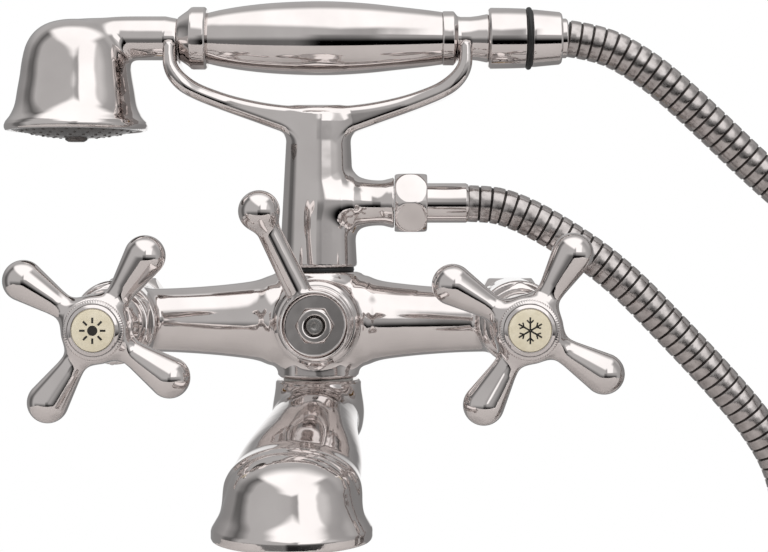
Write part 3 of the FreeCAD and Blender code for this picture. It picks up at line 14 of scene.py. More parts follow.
import bpy
import numpy as np
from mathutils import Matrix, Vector

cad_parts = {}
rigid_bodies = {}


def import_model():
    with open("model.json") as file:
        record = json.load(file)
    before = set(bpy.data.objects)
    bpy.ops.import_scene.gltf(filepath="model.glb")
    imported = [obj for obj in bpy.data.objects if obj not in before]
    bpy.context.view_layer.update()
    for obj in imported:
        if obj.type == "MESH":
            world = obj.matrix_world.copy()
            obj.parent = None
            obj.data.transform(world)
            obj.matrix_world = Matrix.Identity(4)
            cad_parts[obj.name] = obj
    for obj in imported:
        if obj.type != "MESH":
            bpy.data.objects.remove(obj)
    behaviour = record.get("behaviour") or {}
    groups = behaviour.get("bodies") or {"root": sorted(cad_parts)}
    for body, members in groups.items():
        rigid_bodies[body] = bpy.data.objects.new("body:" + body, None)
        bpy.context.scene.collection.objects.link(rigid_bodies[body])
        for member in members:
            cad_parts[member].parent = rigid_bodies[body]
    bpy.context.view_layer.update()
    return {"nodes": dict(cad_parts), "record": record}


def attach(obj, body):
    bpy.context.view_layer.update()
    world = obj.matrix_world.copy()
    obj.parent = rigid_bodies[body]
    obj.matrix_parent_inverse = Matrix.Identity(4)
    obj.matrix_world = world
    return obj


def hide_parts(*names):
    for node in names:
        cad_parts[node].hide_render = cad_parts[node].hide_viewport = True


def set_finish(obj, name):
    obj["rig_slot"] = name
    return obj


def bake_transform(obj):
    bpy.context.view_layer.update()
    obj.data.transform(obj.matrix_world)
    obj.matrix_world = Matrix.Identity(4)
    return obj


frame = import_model()
nodes = frame["nodes"]
print("nodes:", len(nodes))

# %% [markdown]
# ## Places
#
# All of the tap's own sizes are written in millimetres, as on a maker's drawing. The tap is laid
# out from the plane through its body: `at` takes a distance to the right, a distance out from
# that plane towards the user, and a height.

# %% The body's axis plane and the main stations
MM = 0.001
BODY_TO_WALL = 40.0
VALVE_X = 75.0
HANDSET_HEIGHT = 107.0
OUTLET_HEIGHT = 44.5

RIGHT = np.array([1.0, 0.0, 0.0])
LEFT = -RIGHT
OUT = np.array([0.0, -1.0, 0.0])
UP = np.array([0.0, 0.0, 1.0])


def at(x, out, z):
    return np.array([x, -BODY_TO_WALL - out, z], float)


CENTRE = at(0, 0, 0)
print("middle of the body in mm:", CENTRE)

# %% [markdown]
# ## Camera
#
# The photograph is taken from straight in front, a little over half a metre away, slightly
# above the valves and to the right of the middle. Verticals stay upright, as in a catalogue
# picture, so the camera looks level and the frame is shifted down a little instead of tilting.
# An 80 mm lens on a 36 mm sensor gives the same depth between handles and body.

# %% Camera
PICTURE_WIDTH = 768
FOCAL_LENGTH = 80.0
CAMERA_RIGHT = 24.9
CAMERA_HEIGHT = 36.9
CAMERA_DISTANCE = 648.5
FRAME_DROP_PIXELS = 53

camera_data = bpy.data.cameras.new("product_camera")
camera_data.lens = FOCAL_LENGTH
camera_data.sensor_width = 36.0
camera_data.shift_y = -FRAME_DROP_PIXELS / PICTURE_WIDTH
camera_data.clip_start = 0.01
camera = bpy.data.objects.new("product_camera", camera_data)
camera.location = at(CAMERA_RIGHT, CAMERA_DISTANCE, CAMERA_HEIGHT) * MM
camera.rotation_euler = (radians(90), 0, 0)
bpy.context.scene.collection.objects.link(camera)
bpy.context.scene.camera = camera
print("camera at", [round(c, 3) for c in camera.location])

# %% [markdown]
# ## The hose's line
#
# The hose is one length of wound metal strip, 14 mm across and a little over 1.6 m long. It
# leaves the column's outlet, runs down and out of the picture, is put away in a round coil, and
# comes back to the handset. Its centre line is a single smooth spline with few points, so that
# it bends like a real hose. The coil's turns are points of the same spline.

# %% Hose route
HOSE_START_X = 43.5
LOWER_ROUTE = [
    (HOSE_START_X, 0, OUTLET_HEIGHT),
    (60.0, 0, 44.4),
    (71.0, 0, 43.2),
    (87.8, 0, 35.2),
    (112.4, 0, 18.8),
    (135.8, 0, -5.2),
    (151.5, 0, -21.9),
    (166.0, 0, -38.6),
    (176.4, 0, -55.8),
    (180.0, 0, -76.0),
]
UPPER_ROUTE = [
    (269.0, 43.4, -21.4),
    (250.0, 37.0, -8.5),
    (229.0, 26.5, 3.9),
    (208.0, 14.0, 21.3),
    (188.0, 4.0, 38.0),
    (168.0, 0, 55.9),
    (146.3, 0, 76.8),
    (131.0, 0, 90.6),
    (119.5, 0, 98.8),
    (107.0, 0, 105.2),
    (94.5, 0, HANDSET_HEIGHT),
]
print("route points outside the coil:", len(LOWER_ROUTE) + len(UPPER_ROUTE))

# %% The coil's turns
COIL_RADIUS = 71.0
COIL_LEFT = 180.0
COIL_AXIS_Z = -98.0
COIL_PITCH = 16.0
COIL_DEGREES = 951.5
COIL_POINTS_PER_TURN = 16


def coil_points():
    """The coil's control points, set out a little so that the curve itself has the right radius."""
    count = round(COIL_DEGREES / 360 * COIL_POINTS_PER_TURN)
    spread = COIL_RADIUS / cos(pi / COIL_POINTS_PER_TURN)
    points = []
    for i in range(count + 1):
        turn = radians(COIL_DEGREES) * i / count
        radius = COIL_RADIUS if i in (0, count) else spread
        x = COIL_LEFT + COIL_RADIUS - radius * cos(turn)
        points.append((x, COIL_PITCH * turn / (2 * pi), COIL_AXIS_Z - radius * sin(turn)))
    return points


print("route points in the coil:", len(coil_points()))

# %% Spline
LINE_STEPS = 24


def smooth_line(name, points):
    """Points along the NURBS curve that these control points make, in millimetres."""
    curve = bpy.data.curves.new(name, "CURVE")
    curve.dimensions = "3D"
    spline = curve.splines.new("NURBS")
    spline.points.add(len(points) - 1)
    for point, place in zip(spline.points, points):
        point.co = (*(at(*place) * MM), 1)
    spline.order_u = 3
    spline.use_endpoint_u = True
    spline.resolution_u = LINE_STEPS
    holder = bpy.data.objects.new(name, curve)
    bpy.context.scene.collection.objects.link(holder)
    bpy.context.view_layer.update()
    line = np.array([v.co[:] for v in bpy.data.meshes.new_from_object(holder).vertices]) / MM
    bpy.data.objects.remove(holder)
    return line


hose_line = smooth_line("hose_route", LOWER_ROUTE + coil_points() + UPPER_ROUTE)
hose_stations = np.concatenate([[0], np.cumsum(np.linalg.norm(np.diff(hose_line, axis=0), axis=1))])
HOSE_LENGTH = hose_stations[-1]
print("hose length in mm:", round(HOSE_LENGTH, 1))

# %% [markdown]
# ## From numbers to meshes
#
# `piece` turns points and faces in millimetres into an object in metres. Chrome shows every
# flaw in its reflections, so a piece can bring its own exact normals instead of the averaged
# ones that Blender works out from the faces.


# %% Mesh maker
def piece(name, points, faces, body=None, normals=None, sharp=None):
    mesh = bpy.data.meshes.new(name)
    mesh.from_pydata((np.asarray(points) * MM).tolist(), [], [list(map(int, f)) for f in faces])
    mesh.validate()
    mesh.shade_smooth()
    if sharp is not None:
        mesh.set_sharp_from_angle(angle=radians(sharp))
    if normals is not None and len(normals) == len(mesh.vertices):
        mesh.normals_split_custom_set_from_vertices(np.asarray(normals).tolist())
    thing = bpy.data.objects.new(name, mesh)
    bpy.context.scene.collection.objects.link(thing)
    if body:
        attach(thing, body)
    return thing


# %% [markdown]
# ## The hose's wound strip
#
# The strip is folded into hooks that grip each other, which leaves a flat rib and a narrow
# groove every 4.4 mm. A texture can't show the scalloped outline, so each rib is swept around
# the line in seven rings. The groove's faces get a darker colour, a painted shade, because no
# light reaches into the fold.

# %% Hose skin
RIB_PITCH = 4.4
HOSE_SIDES = 40
# Each ring of a rib: its share of the pitch, and its radius.
RIB_PROFILE = [(0.0, 6.42), (0.03, 6.45), (0.07, 6.88), (0.14, 6.99), (0.5, 7.02), (0.86, 6.99), (0.93, 6.45)]
# The rings whose faces lie in the groove; they get the painted shade of the fold.
GROOVE_RINGS = (0, 6)
LOOK_AHEAD = 1.5


def points_at(stations):
    return np.column_stack([np.interp(stations, hose_stations, hose_line[:, k]) for k in range(3)])


def hose_skin():
    count = int(HOSE_LENGTH / RIB_PITCH)
    pitch = HOSE_LENGTH / count
    stations = [(i + share) * pitch for i in range(count) for share, _ in RIB_PROFILE] + [HOSE_LENGTH]
    radii = [radius for _ in range(count) for _, radius in RIB_PROFILE] + [RIB_PROFILE[0][1]]
    stations = np.array(stations)
    forward = points_at(stations + LOOK_AHEAD) - points_at(stations - LOOK_AHEAD)
    forward /= np.linalg.norm(forward, axis=1)[:, None]
    side = OUT - forward * (forward @ OUT)[:, None]
    side /= np.linalg.norm(side, axis=1)[:, None]
    other = np.cross(forward, side)
    angles = np.linspace(0, 2 * pi, HOSE_SIDES, endpoint=False)
    around = side[:, None] * np.cos(angles)[:, None] + other[:, None] * np.sin(angles)[:, None]
    points = points_at(stations)[:, None] + around * np.array(radii)[:, None, None]
    faces = []
    groove = []
    for i in range(len(stations) - 1):
        low = i * HOSE_SIDES
        high = low + HOSE_SIDES
        for j in range(HOSE_SIDES):
            k = (j + 1) % HOSE_SIDES
            faces.append((low + j, high + j, high + k, low + k))
            groove.append(i % len(RIB_PROFILE) in GROOVE_RINGS)
    faces.append(tuple(range(HOSE_SIDES)))
    faces.append(tuple(reversed(range(len(stations) * HOSE_SIDES - HOSE_SIDES, len(stations) * HOSE_SIDES))))
    groove += [True, True]
    print("hose ribs:", count)
    return points.reshape(-1, 3), faces, groove


# %% Hose piece
hose_points, hose_faces, hose_fold_shade_faces = hose_skin()
hose = piece("metal_hose", hose_points, hose_faces, sharp=40)
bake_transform(hose)
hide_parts("hose_lower", "hose_coil", "hose_upper")
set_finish(hose, "hose_steel")

# %% [markdown]
# ## Turned pieces
#
# Collars, rings, cones and the grip come off a lathe. Their outline is drawn as radius and
# distance along the axis, and `eased` breaks each corner with a small arc, because no polished
# edge is truly sharp: the tiny radius is what catches the light. `flowing` draws a smooth line
# through a few points, for a waist or a swelling.


# %% Outlines
def eased(outline, radius, steps=4):
    """The outline with each inner corner replaced by an arc of up to this radius."""
    points = [np.array(p, float) for p in outline]
    result = [points[0]]
    for before, corner, after in zip(points, points[1:], points[2:]):
        a = before - corner
        b = after - corner
        length_a = np.linalg.norm(a)
        length_b = np.linalg.norm(b)
        angle = acos(float(np.clip(a @ b / (length_a * length_b), -1, 1)))
        if angle > radians(172):
            result.append(corner)
            continue
        trim = min(radius / tan(angle / 2), 0.45 * length_a, 0.45 * length_b)
        start = corner + a / length_a * trim
        end = corner + b / length_b * trim
        for t in np.linspace(0, 1, steps + 1):
            result.append((1 - t) ** 2 * start + 2 * t * (1 - t) * corner + t * t * end)
    result.append(points[-1])
    return result


def flowing(points, steps=10):
    """A smooth line through the points."""
    known = [np.array(p, float) for p in points]
    known = [2 * known[0] - known[1]] + known + [2 * known[-1] - known[-2]]
    line = []
    for p0, p1, p2, p3 in zip(known, known[1:], known[2:], known[3:]):
        for t in np.arange(steps) / steps:
            bend = (p2 - p0) * t + (2 * p0 - 5 * p1 + 4 * p2 - p3) * t**2 + (3 * p1 - p0 - 3 * p2 + p3) * t**3
            line.append(p1 + bend / 2)
    return line + [known[-2]]


print("points in one eased corner:", len(eased([(0, 0), (1, 0), (1, 1)], 0.1)) - 2)

# %% Lathe
TURNED_SEGMENTS = 128


def across(axis):
    """Two directions square to an axis and to each other."""
    first = np.cross(axis, UP) if abs(axis @ UP) < 0.9 else np.cross(axis, RIGHT)
    first = first / np.linalg.norm(first)
    return first, np.cross(axis, first)


def turned(name, outline, base, axis, body, sharp=32, notch=None, segments=TURNED_SEGMENTS):
    """A lathe piece from an outline of (radius, distance along the axis).

    notch gives how far the surface is cut in at a radius and an angle, for knurled edges.
    """
    first, second = across(axis)
    angles = np.linspace(0, 2 * pi, segments, endpoint=False)
    around = first * np.cos(angles)[:, None] + second * np.sin(angles)[:, None]
    points = []
    rings = []
    for radius, along in outline:
        if radius < 1e-4:
            rings.append([len(points)] * segments)
            points.append(base + axis * along)
            continue
        rings.append(range(len(points), len(points) + segments))
        cut = notch(radius, angles) if notch else 0
        points.extend(base + axis * along + around * np.reshape(radius - cut, (-1, 1)))
    faces = []
    for low, high in zip(rings, rings[1:]):
        for i in range(segments):
            j = (i + 1) % segments
            corners = [low[i], low[j], high[j], high[i]]
            kept = [c for k, c in enumerate(corners) if c != corners[k - 1]]
            if len(kept) > 2:
                faces.append(kept)
    print(name, "turned with", len(faces), "faces")
    return piece(name, points, faces, body, sharp=sharp)


# %% [markdown]
# ## Cast pieces
#
# A casting has no sharp inner corners: every arm flows into its hub. Boxes and cylinders joined
# with booleans can't do that, so each casting is described by a distance: how far a point lies
# from the metal's surface, negative inside it. Two such distances join with a soft minimum,
# which leaves a fillet, and one takes a bite out of another with a soft maximum.


# %% Soft joins of two distances
def soft_union(a, b, fillet):
    h = np.clip(0.5 + 0.5 * (b - a) / fillet, 0, 1)
    return b * (1 - h) + a * h - fillet * h * (1 - h)


def soft_common(a, b, round_off):
    return -soft_union(-a, -b, round_off)


def soft_cut(a, b, round_off):
    return soft_common(a, -b, round_off)


print("where two surfaces meet, a 4 mm fillet adds", -soft_union(0.0, 0.0, 4.0), "mm")

# %% Distance to a front outline
TABLE_CELL = 0.2
TABLE_MARGIN = 12.0


def half_outline(outline):
    """Distance to a shape that is mirrored about u = 0, from the outline of its half.

    The outline starts and ends at u = 0. The distances are worked out once, on a fine grid, and
    each call only reads between the grid's entries.
    """
    corners = np.array(outline, float)
    high = corners.max(0) + TABLE_MARGIN
    low_v = corners[:, 1].min() - TABLE_MARGIN
    u = np.arange(0, high[0], TABLE_CELL)[:, None]
    v = np.arange(low_v, high[1], TABLE_CELL)[None, :]
    nearest = np.full((u.size, v.size), 1e9)
    inside = np.zeros(nearest.shape, bool)
    for (u0, v0), (u1, v1) in zip(corners, corners[1:]):
        du = u1 - u0
        dv = v1 - v0
        if du * du + dv * dv < 1e-12:
            continue
        t = np.clip(((u - u0) * du + (v - v0) * dv) / (du * du + dv * dv), 0, 1)
        nearest = np.minimum(nearest, (u - u0 - t * du) ** 2 + (v - v0 - t * dv) ** 2)
        if abs(dv) > 1e-12:
            inside ^= ((v0 > v) != (v1 > v)) & (u < u0 + (v - v0) * du / dv)
    table = np.where(inside, -1, 1) * np.sqrt(nearest)

    def distance(a, b):
        a = np.abs(a)
        i_all = a / TABLE_CELL
        j_all = (b - low_v) / TABLE_CELL
        i = np.clip(i_all, 0, table.shape[0] - 1.001)
        j = np.clip(j_all, 0, table.shape[1] - 1.001)
        beyond = TABLE_CELL * np.hypot(i_all - i, j_all - j)
        m = i.astype(int)
        n = j.astype(int)
        f = i - m
        g = j - n
        near = table[m, n] * (1 - g) + table[m, n + 1] * g
        far = table[m + 1, n] * (1 - g) + table[m + 1, n + 1] * g
        return near * (1 - f) + far * f + beyond

    return distance


# %% Distance to turned forms and limbs
def turned_form(outline, base, axis):
    """Distance to a solid of revolution about the axis through base."""
    profile = half_outline(outline)

    def distance(points):
        relative = points - base
        along = relative @ axis
        return profile(np.sqrt(np.maximum((relative**2).sum(1) - along**2, 0)), along)

    return distance


def limb(points, start, end, start_radius, end_radius):
    """Distance to a limb with round ends that swells or thins from one radius to another."""
    axis = end - start
    length = np.linalg.norm(axis)
    axis = axis / length
    relative = points - start
    along = relative @ axis
    radius = np.sqrt(np.maximum((relative**2).sum(1) - along**2, 0))
    slope = (start_radius - end_radius) / length
    side = sqrt(1 - slope * slope)
    reach = along * side - radius * slope
    on_side = radius * side + along * slope - start_radius
    near_start = np.hypot(radius, along) - start_radius
    near_end = np.hypot(radius, along - length) - end_radius
    return np.where(reach < 0, near_start, np.where(reach > length * side, near_end, on_side))


# %% [markdown]
# ## Wrapping the surface
#
# Space is cut into small cubes. Each cube that the surface passes through gets one point, and
# neighbouring points are joined into squares. The points are evened out and then pulled exactly
# onto the surface, where the distance's slope gives the true normal.

# %% Grid of distances
CUBE_CORNERS = [(i, j, k) for i in (0, 1) for j in (0, 1) for k in (0, 1)]


def grid(distance, low, high, step):
    """Where the grid starts, and the distance at every corner of its cubes."""
    axes = [np.arange(a - 2 * step, b + 3 * step, step) for a, b in zip(low, high)]
    plane = np.stack(np.meshgrid(axes[1], axes[2], indexing="ij"), -1).reshape(-1, 2)
    values = np.empty(tuple(len(a) for a in axes))
    for i, x in enumerate(axes[0]):
        values[i] = distance(np.column_stack([np.full(len(plane), x), plane])).reshape(values.shape[1:])
    return np.array([a[0] for a in axes]), values


# %% Cubes that the surface passes through
def cut_cubes(inside):
    """The cut cubes' places in the grid, and a grid with the number of each."""
    cells = tuple(n - 1 for n in inside.shape)
    count = np.zeros(cells, np.int8)
    for i, j, k in CUBE_CORNERS:
        count += inside[i : i + cells[0], j : j + cells[1], k : k + cells[2]]
    cubes = np.argwhere((count > 0) & (count < 8))
    number = np.full(cells, -1)
    number[tuple(cubes.T)] = np.arange(len(cubes))
    return cubes, number


def cube_points(values, cubes):
    """One point in each cut cube: the mean of the places where the surface crosses its edges."""
    total = np.zeros((len(cubes), 3))
    weight = np.zeros((len(cubes), 1))
    for a in CUBE_CORNERS:
        for axis in range(3):
            if a[axis]:
                continue
            b = list(a)
            b[axis] = 1
            value_a = values[tuple((cubes + a).T)]
            value_b = values[tuple((cubes + b).T)]
            crossed = ((value_a < 0) != (value_b < 0))[:, None]
            share = value_a / np.where(crossed[:, 0], value_a - value_b, 1)
            total += np.where(crossed, np.array(a) + share[:, None] * np.subtract(b, a), 0)
            weight += crossed
    return cubes + total / weight


# %% Squares between the cubes' points
def squares(inside, number):
    """A square around each grid edge that the surface crosses, facing out."""
    faces = []
    for direction, second, third in ((0, 1, 2), (1, 2, 0), (2, 0, 1)):
        near = [slice(0, n) for n in inside.shape]
        far = [slice(0, n) for n in inside.shape]
        near[direction] = slice(0, inside.shape[direction] - 1)
        far[direction] = slice(1, inside.shape[direction])
        changes = inside[tuple(near)].astype(np.int8) - inside[tuple(far)]
        for leaving in (1, -1):
            edges = np.argwhere(changes == leaving)
            ring = []
            for back_second, back_third in ((1, 1), (0, 1), (0, 0), (1, 0)):
                cell = edges.copy()
                cell[:, second] -= back_second
                cell[:, third] -= back_third
                ring.append(number[tuple(cell.T)])
            faces.append(np.stack(ring[::leaving], axis=1))
    return np.concatenate(faces)


# %% Pulling points onto the surface
SLOPE_REACH = 0.25
PROBES = np.array([[1, -1, -1], [-1, -1, 1], [-1, 1, -1], [1, 1, 1]], float)


def pulled(distance, points, step):
    """The points moved onto the surface, and the surface's directions there."""
    readings = np.array([distance(points + probe * SLOPE_REACH) for probe in PROBES])
    slope = np.tensordot(readings, PROBES, (0, 0)) / (4 * SLOPE_REACH)
    size = np.maximum((slope**2).sum(1), 0.05)
    move = np.clip(distance(points) / size, -0.5 * step, 0.5 * step)
    return points - move[:, None] * slope, slope / np.sqrt(size)[:, None]


# %% Cast piece
EVENING_ROUNDS = 3
PULLING_ROUNDS = 2


def cast(name, distance, low, high, step, body):
    """A piece wrapped around the surface where distance is zero, between two corners."""
    start, values = grid(distance, low, high, step)
    inside = values < 0
    cubes, number = cut_cubes(inside)
    points = start + step * cube_points(values, cubes)
    faces = squares(inside, number)
    pairs = np.concatenate([faces[:, [i, (i + 1) % 4]] for i in range(4)])
    share = np.maximum(np.bincount(pairs[:, 0], minlength=len(points)), 1)[:, None]
    for _ in range(EVENING_ROUNDS):
        sums = [np.bincount(pairs[:, 0], points[pairs[:, 1], k], len(points)) for k in range(3)]
        points = 0.5 * points + 0.5 * np.stack(sums, 1) / share
        points, normals = pulled(distance, points, step)
    for _ in range(PULLING_ROUNDS):
        points, normals = pulled(distance, points, step)
    print(name, "net of", len(faces), "squares")
    return piece(name, points, faces, body, normals=normals)


# %% [markdown]
# ## The body casting
#
# Two tapering arms carry the valve housings. They swell like trumpets into the middle boss,
# where the spout hangs below, the column stands above, and the diverter looks out at the front.

# %% Body casting
ARM_LINE = flowing(
    [(17.9, 12), (17.1, 18), (15.5, 22.5), (14.5, 27.5), (13.3, 38), (12.4, 50), (12.0, 61), (12.0, 76)]
)
ARM_OUTLINE = [(0, 0), (17.9, 0), *ARM_LINE, (0, 76)]
BOSS_OUTLINE = [(0, -21.7), (14.2, -21.7), (15.4, -20.4), (15.4, 17.4), (14.4, 18.6), (0, 18.6)]
HOUSING_OUTLINE = [(0, -18), (14.6, -18), (15.6, -17), (15.6, 16), (14.9, 17), (0, 17)]
FRONT_OUTLINE = [(0, -8), (15.4, -8), (15.4, 20.5), (0, 20.5)]
BODY_TOP = 18.6
BODY_BOTTOM = -21.7
BODY_FILLET = 3.0
HOUSING_FILLET = 2.0
FACED_EDGE = 0.7

body_forms = [
    turned_form(ARM_OUTLINE, CENTRE, RIGHT),
    turned_form(ARM_OUTLINE, CENTRE, LEFT),
    turned_form(BOSS_OUTLINE, CENTRE, UP),
    turned_form(FRONT_OUTLINE, CENTRE, OUT),
]
housings = [turned_form(HOUSING_OUTLINE, at(side * VALVE_X, 0, 0), OUT) for side in (-1, 1)]


def body_distance(points):
    casting = body_forms[0](points)
    for form in body_forms[1:]:
        casting = soft_union(casting, form(points), BODY_FILLET)
    ends = np.maximum(points[:, 2] - BODY_TOP, BODY_BOTTOM - points[:, 2])
    casting = soft_common(casting, ends, FACED_EDGE)
    for housing in housings:
        casting = soft_union(casting, housing(points), HOUSING_FILLET)
    return casting


body_casting = cast("body_casting", body_distance, (-92, -64, -23), (92, -21, 20), 0.52, "body")
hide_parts("mixer_body")
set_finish(body_casting, "chrome")

# %% [markdown]
# ## Column and cradle
#
# The column is one casting with the sling that holds the handset. Seen from the front the sling
# is a shallow bow that runs out into two open forks. It is drawn as that front outline, cut
# to its width as seen from above, and joined to the column with a large soft fillet.

# %% Column and cradle casting
COLUMN_OUTLINE = [(0, 20.2), (14.0, 20.2), (14.75, 21.0), (12.3, 68.0)]
COLUMN_OUTLINE += [(12.1, 75.5), (11.5, 78.2), (9.5, 80.0), (0, 80.6)]
OUTLET_LINE = flowing([(11.2, 13.5), (9.6, 16.6), (8.8, 20), (8.65, 24), (9.2, 26.6), (9.7, 28.7)])
OUTLET_OUTLINE = [(0, 0), (12.5, 0), (12.5, 9), *OUTLET_LINE, (0, 28.7)]
BOW_TOP = flowing(
    [(0, 80.8), (10, 81.1), (20, 82.3), (30, 84.4), (38, 86.8)]
    + [(45, 89.6), (50, 93.2), (52.6, 96.8), (53.3, 100.5)]
)
FORK_END = [(53.3, 103.6), (54.3, 105.2), (55.7, 105.6), (57.2, 105.0), (58.0, 103.4)]
BOW_FOOT = flowing(
    [(58.1, 100.0), (57.8, 95.5), (56.0, 91.0), (52.4, 86.9), (47.0, 83.7)]
    + [(38.0, 80.1), (26.0, 75.8), (8, 69.5), (0, 68.8)]
)
# Along the bow, from its middle: how far to the side, and half the width.
BOW_HALF_WIDTHS = [(0, 8.4), (9, 8.0), (20, 7.4), (34, 7.4), (43, 9.6), (50, 12.0), (60, 12.3)]
FORK_RADII = {-1: 8.65, 1: 8.45}
FORK_FROM = 46.0
BOW_EDGE = 3.4
BOW_FILLET = 3.4
OUTLET_FILLET = 3.0
SEAT_EDGE = 1.0

column_form = turned_form(COLUMN_OUTLINE, CENTRE, UP)
outlet_form = turned_form(OUTLET_OUTLINE, at(0, 0, OUTLET_HEIGHT), RIGHT)
bow_front = half_outline([*BOW_TOP, *FORK_END, *BOW_FOOT])
bow_widths = np.array(flowing(BOW_HALF_WIDTHS))


def cradle_distance(points):
    x = points[:, 0]
    out = np.abs(points[:, 1] + BODY_TO_WALL)
    width = out - np.interp(np.abs(x), bow_widths[:, 0], bow_widths[:, 1])
    bow = soft_common(bow_front(x, points[:, 2]), width, BOW_EDGE)
    casting = soft_union(column_form(points), bow, BOW_FILLET)
    casting = soft_union(casting, outlet_form(points), OUTLET_FILLET)
    height = points[:, 2] - HANDSET_HEIGHT
    for side, radius in FORK_RADII.items():
        seat = np.hypot(out, np.minimum(height, 0)) - radius
        seat = np.maximum(seat, FORK_FROM - side * x)
        casting = soft_cut(casting, seat, SEAT_EDGE)
    return casting


cradle = cast("column_and_cradle", cradle_distance, (-60, -56, 19), (60, -24, 107), 0.6, "body")
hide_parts("column_cradle")
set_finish(cradle, "chrome")

# %% [markdown]
# ## Spout
#
# The spout turns on a short collar under the body. Its arm widens as it comes forward and falls,
# and ends in a bell. It stands turned a few degrees to the left, as in the photograph, and the
# bell ends in a short upright lip. The bell is hollow, with a slotted insert that calms the water.

# %% Spout casting
SPOUT_TURNED = radians(-2.7)
BELL_TIPPED = radians(0.5)
SPOUT_REACH = 100.0
COLLAR_LINE = flowing([(9.0, -47.0), (13.2, -45.6), (15.6, -42.0), (16.2, -37.0), (16.2, -30.0)])
COLLAR_OUTLINE = [(0, -47.0), *COLLAR_LINE, (16.2, -23.2), (15.4, -22.3), (0, -22.3)]
# Along the arm: how far out, half the width, half the height, and the height of the middle.
ARM_STATIONS = [
    (-6, 15.4, 11.6, -34.6),
    (0, 15.8, 12.0, -35.0),
    (30, 16.8, 12.6, -38.0),
    (65, 20.4, 13.2, -43.4),
    (85, 21.4, 12.8, -46.6),
    (100, 21.6, 12.4, -49.0),
]
BELL_LINE = flowing(
    [(0, -36.4), (7.0, -36.9), (13.0, -39.0), (17.9, -42.6), (20.3, -46.6)]
    + [(21.2, -49.8), (22.0, -53.0), (23.2, -56.2), (24.8, -59.0), (25.8, -60.7)]
)
BELL_OUTLINE = [*BELL_LINE, (26.0, -61.4), (26.0, -63.8), (25.6, -64.5), (24.8, -64.7), (0, -64.7)]
BELL_MOUTH = -64.0
BELL_HOLLOW = [(0, -70), (23.7, -70), (23.4, -64.4), (21.0, -60.5), (18.8, -57.0), (18.8, -47.6), (0, -47.6)]

ARM_END_ROUND = 3.0
COLLAR_FILLET = 5.0
BELL_FILLET = 4.0
MOUTH_EDGE = 0.7


def turned_axes(angle, axis):
    """A turn about the upright axis, or the axis that points right, for row vectors."""
    c = cos(angle)
    s = sin(angle)
    if axis == "up":
        return np.array([[c, -s, 0], [s, c, 0], [0, 0, 1]])
    return np.array([[1, 0, 0], [0, c, -s], [0, s, c]])


SPOUT_AXES = turned_axes(SPOUT_TURNED, "up")
BELL_UP = turned_axes(BELL_TIPPED, "right") @ UP
BELL_BASE = at(0, SPOUT_REACH, 0) + (UP - BELL_UP) * BELL_MOUTH
collar_form = turned_form(COLLAR_OUTLINE, CENTRE, UP)
bell_form = turned_form(BELL_OUTLINE, BELL_BASE, BELL_UP)
bell_hollow = turned_form(BELL_HOLLOW, BELL_BASE, BELL_UP)
arm_stations = np.array(flowing(ARM_STATIONS))


def spout_distance(points):
    local = (points - CENTRE) @ SPOUT_AXES + CENTRE
    out = -BODY_TO_WALL - local[:, 1]
    sizes = [np.interp(out, arm_stations[:, 0], arm_stations[:, k]) for k in (1, 2, 3)]
    half_width, half_height, height = sizes
    above = (local[:, 2] - height) / half_height
    section = (np.hypot(local[:, 0] / half_width, above) - 1) * half_height
    arm = soft_common(section, np.maximum(ARM_STATIONS[0][0] - out, out - SPOUT_REACH), ARM_END_ROUND)
    casting = soft_union(arm, collar_form(local), COLLAR_FILLET)
    casting = soft_union(casting, bell_form(local), BELL_FILLET)
    return soft_cut(casting, bell_hollow(local), MOUTH_EDGE)


spout = cast("spout_casting", spout_distance, (-34, -168, -67), (24, -22, -21), 0.6, "spout")
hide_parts("spout")
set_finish(spout, "chrome")

# %% [markdown]
# ## Cross handles
#
# Each handle is a cast cross: a waisted hub with four slim arms that end in round lobes. The
# two handles were never set at exactly the same angle, which the photograph shows, so each has
# its own angle, measured as the user sees it.

# %% Handle castings
LOBE_PLANE = 55.5
LOBE_REACH = 30.5
LOBE_RADIUS = 7.25
SPOKE_FROM = 6.0
SPOKE_TO = 16.0
SPOKE_ROOT_RADIUS = 5.0
SPOKE_WAIST_RADIUS = 4.1
LOBE_FROM = 14.0
LOBE_FILLET = 1.0
SPOKE_FILLET = 3.4
RECESS_EDGE = 0.3
SKIRT_EDGE = 0.5
HANDLE_HALF_SPAN = 39
HUB_LINE = flowing(
    [(9.9, 33.0), (10.1, 38.0), (10.9, 43.5), (11.8, 48.5)]
    + [(12.25, 53.5), (12.2, 57.0), (11.7, 59.6), (10.9, 61.0)]
)
HUB_OUTLINE = [(0, 33.0), *HUB_LINE, (10.3, 61.5), (0, 61.5)]
HANDLE_ANGLES = {"hot": 56.5, "cold": 59.5}
HANDLE_X = {"hot": -VALVE_X, "cold": VALVE_X}
CAP_RECESS = [(0, 58.0), (8.95, 58.0), (8.95, 66.0), (0, 66.0)]
SKIRT_HOLLOW = [(0, 30.0), (8.5, 30.0), (8.5, 41.0), (0, 41.0)]


